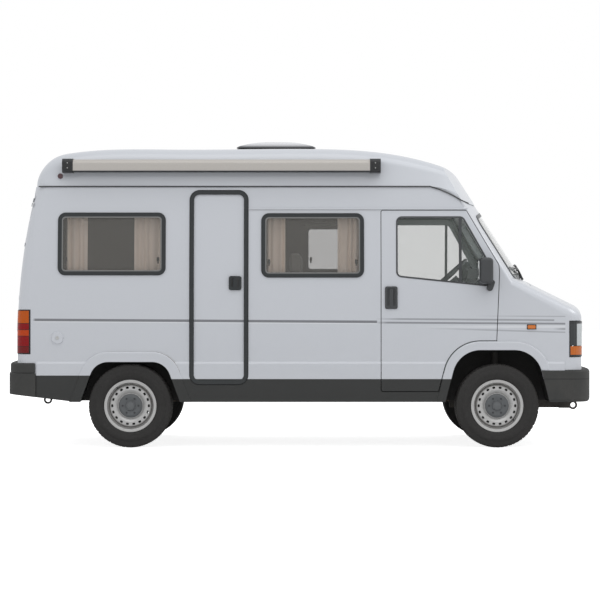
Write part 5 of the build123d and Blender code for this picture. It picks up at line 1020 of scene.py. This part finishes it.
# ---------------------------------------------------------------- furniture
# Cupboards of wood-grain laminated board with rounded door panels, small knobs and a grey
# laminate worktop that holds a steel sink and a two-ring hob.
WORKTOP_Z = 1.410
PANEL_BACK, PANEL_FRONT = -0.002, 0.012
board = finish_of("cupboard_board", (0.36, 0.255, 0.165), 0.5, scale=14, contrast=0.12, bump=0.1)
tree, shader, color = opened(board)
stretched = put(tree, "Mapping", Vector=put(tree, "TexCoord").outputs["Object"], Scale=(26, 26, 1.6))
figure = put(tree, "TexNoise", Vector=stretched.outputs[0], Scale=3.0, Detail=5.0, Distortion=1.2)
veins = spread(tree, figure.outputs["Fac"], 0.40, 0.66, 0.0, 0.55)
feed(tree, shader, Base_Color=tint(tree, color, veins, (0.22, 0.135, 0.075)))
zones(board, ((0.33, 0.32, 0.30), ("X", -0.656, 0.0), ("Z", 1.3795, 1.4200)))
dress(board, "furniture")
# Each panel: face axis, face place, way it faces, low and high corner in the other two axes, knob place.
PANELS = (("y", 0.480, -1, (-0.622, 0.530), (-0.340, 1.200), (-0.360, 1.150)),
          ("y", 0.480, -1, (-0.320, 0.530), (-0.038, 1.200), (-0.300, 1.150)),
          ("y", 0.480, -1, (-0.622, 1.222), (-0.340, 1.352), (-0.481, 1.287)),
          ("y", 0.480, -1, (-0.320, 1.222), (-0.038, 1.352), (-0.179, 1.287)),
          ("y", 0.400, -1, (-1.130, 0.540), (-0.680, 1.960), (-0.710, 1.250)),
          ("y", -0.300, 1, (0.040, 0.530), (0.430, 0.795), (0.235, 0.770)),
          ("x", -1.190, 1, (-0.660, 0.530), (-0.020, 0.890), (-0.060, 0.850)),
          ("x", -1.190, 1, (0.020, 0.530), (0.380, 0.890), (0.060, 0.850)))
KNOB_PROFILE = [(0.0, 0.0), (0.0, 0.0070), (0.008, 0.0060), (0.012, 0.0110), (0.018, 0.0120),
                (0.021, 0.0095), (0.022, 0.0)]
panel_rows, knobs_bm = [], bmesh.new()
for axis, face, way, low, high, knob in PANELS:
    near, far = sorted((face + PANEL_BACK * way, face + PANEL_FRONT * way))
    front = face + PANEL_FRONT * way
    if axis == "y":
        panel_rows.append(((low[0], near, low[1]), (high[0], far, high[1]), 0.005, 4))
        knob_at = shift(knob[0], front, knob[1]) @ turn(0 if way > 0 else 180, "Z")
    else:
        panel_rows.append(((near, low[0], low[1]), (far, high[0], high[1]), 0.005, 4))
        knob_at = shift(front, knob[0], knob[1]) @ turn(-90 * way, "Z")
    join(knobs_bm, settled(spun(KNOB_PROFILE, 24), knob_at))
sink_bm = rounded_ring(-0.610, -0.330, 0.540, 0.860, 0.050, 0.014, 0.0, 0.004, cuts=1)
settled(sink_bm, Matrix(((1, 0, 0, 0), (0, 0, 1, 0), (0, 1, 0, WORKTOP_Z), (0, 0, 0, 1))))
block(sink_bm, (-0.470, 0.700, WORKTOP_Z + 0.0005), (0.260, 0.300, 0.0020))
hob_bm = bmesh.new()
for y in (0.600, 0.780):
    for radius, height in ((0.072, 0.004), (0.040, 0.012), (0.022, 0.018)):
        bmesh.ops.create_cone(hob_bm, cap_ends=True, segments=40, radius1=radius, radius2=radius - 0.002,
                              depth=height, matrix=shift(-0.165, y, WORKTOP_Z + height / 2))
sink_steel = finish_of("sink_steel", (0.42, 0.42, 0.42), 0.3, scale=80, contrast=0.08, bump=0.1, metal=0.9)
for name, part_bm, material in (("cupboard_panels", boxes(*panel_rows), board),
                                ("cupboard_knobs", faced(knobs_bm), bright_zinc),
                                ("sink", faced(sink_bm), sink_steel), ("hob_rings", hob_bm, black_plastic)):
    piece(name, part_bm, material, "body")

# ---------------------------------------------------------------- padded seats and cushions
# Foam cushions in close woven grey-brown cloth, cut and piped at the edges: two cab seats
# with headrests, the bench by the middle window and the mattress over the rear bed.
# Each pad: CAD node, piece, grid step, fill and the furthest that its cloth may move.
PADS = (("cab_seats", "cab_seat_cushions", 0.009, 0.55, 0.010),
        ("living_cushions", "bench_and_mattress", 0.013, 0.6, 0.012))
PAD_PLAY = 0.006
SWELL_FRAMES = 14
seat_cloth = finish_of("seat_cloth", (0.125, 0.115, 0.105), 0.92, scale=700, contrast=0.25, bump=0.5)
seat_cloth.node_tree.nodes["Principled BSDF"].inputs["Sheen Weight"].default_value = 0.3
for node, pad_name, voxel, fill, furthest in PADS:
    pad_bm = bmesh.new()
    pad_bm.from_mesh(nodes[node].data)
    bmesh.ops.remove_doubles(pad_bm, verts=pad_bm.verts[:], dist=1e-5)
    faced(pad_bm)
    for vert in pad_bm.verts:
        vert.co -= vert.normal * PAD_PLAY
    pad = piece(pad_name, pad_bm, seat_cloth, "body", smooth=180)
    grid = pad.modifiers.new("even_grid", "REMESH")
    grid.mode = "VOXEL"
    grid.voxel_size = voxel
    grid.use_smooth_shade = True
    scene.view_layers[0].update()
    reached = pad.evaluated_get(bpy.context.evaluated_depsgraph_get())
    start_mesh = bpy.data.meshes.new_from_object(reached)
    pad.modifiers.clear()
    old_mesh = pad.data
    pad.data = start_mesh
    bpy.data.meshes.remove(old_mesh)
    start = [vert.co.copy() for vert in start_mesh.vertices]
    cloth = pad.modifiers.new("swell", "CLOTH")
    cloth.settings.use_pressure = True
    cloth.settings.uniform_pressure_force = 4.0
    cloth.settings.quality = 4
    cloth.settings.tension_stiffness = 40
    cloth.settings.compression_stiffness = 40
    cloth.settings.effector_weights.gravity = 0.0
    cloth.collision_settings.use_self_collision = False
    for frame_number in range(1, SWELL_FRAMES + 1):
        scene.frame_set(frame_number)
    swollen = bpy.data.meshes.new_from_object(pad.evaluated_get(bpy.context.evaluated_depsgraph_get()))
    pad.modifiers.clear()
    for vert, was in zip(start_mesh.vertices, start):
        move = swollen.vertices[vert.index].co - was
        if move.length > furthest:
            move *= furthest / move.length
        vert.co = was + move
    bpy.data.meshes.remove(swollen)
    scene.frame_set(1)
    for face in pad.data.polygons:
        face.use_smooth = True
    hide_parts(node)
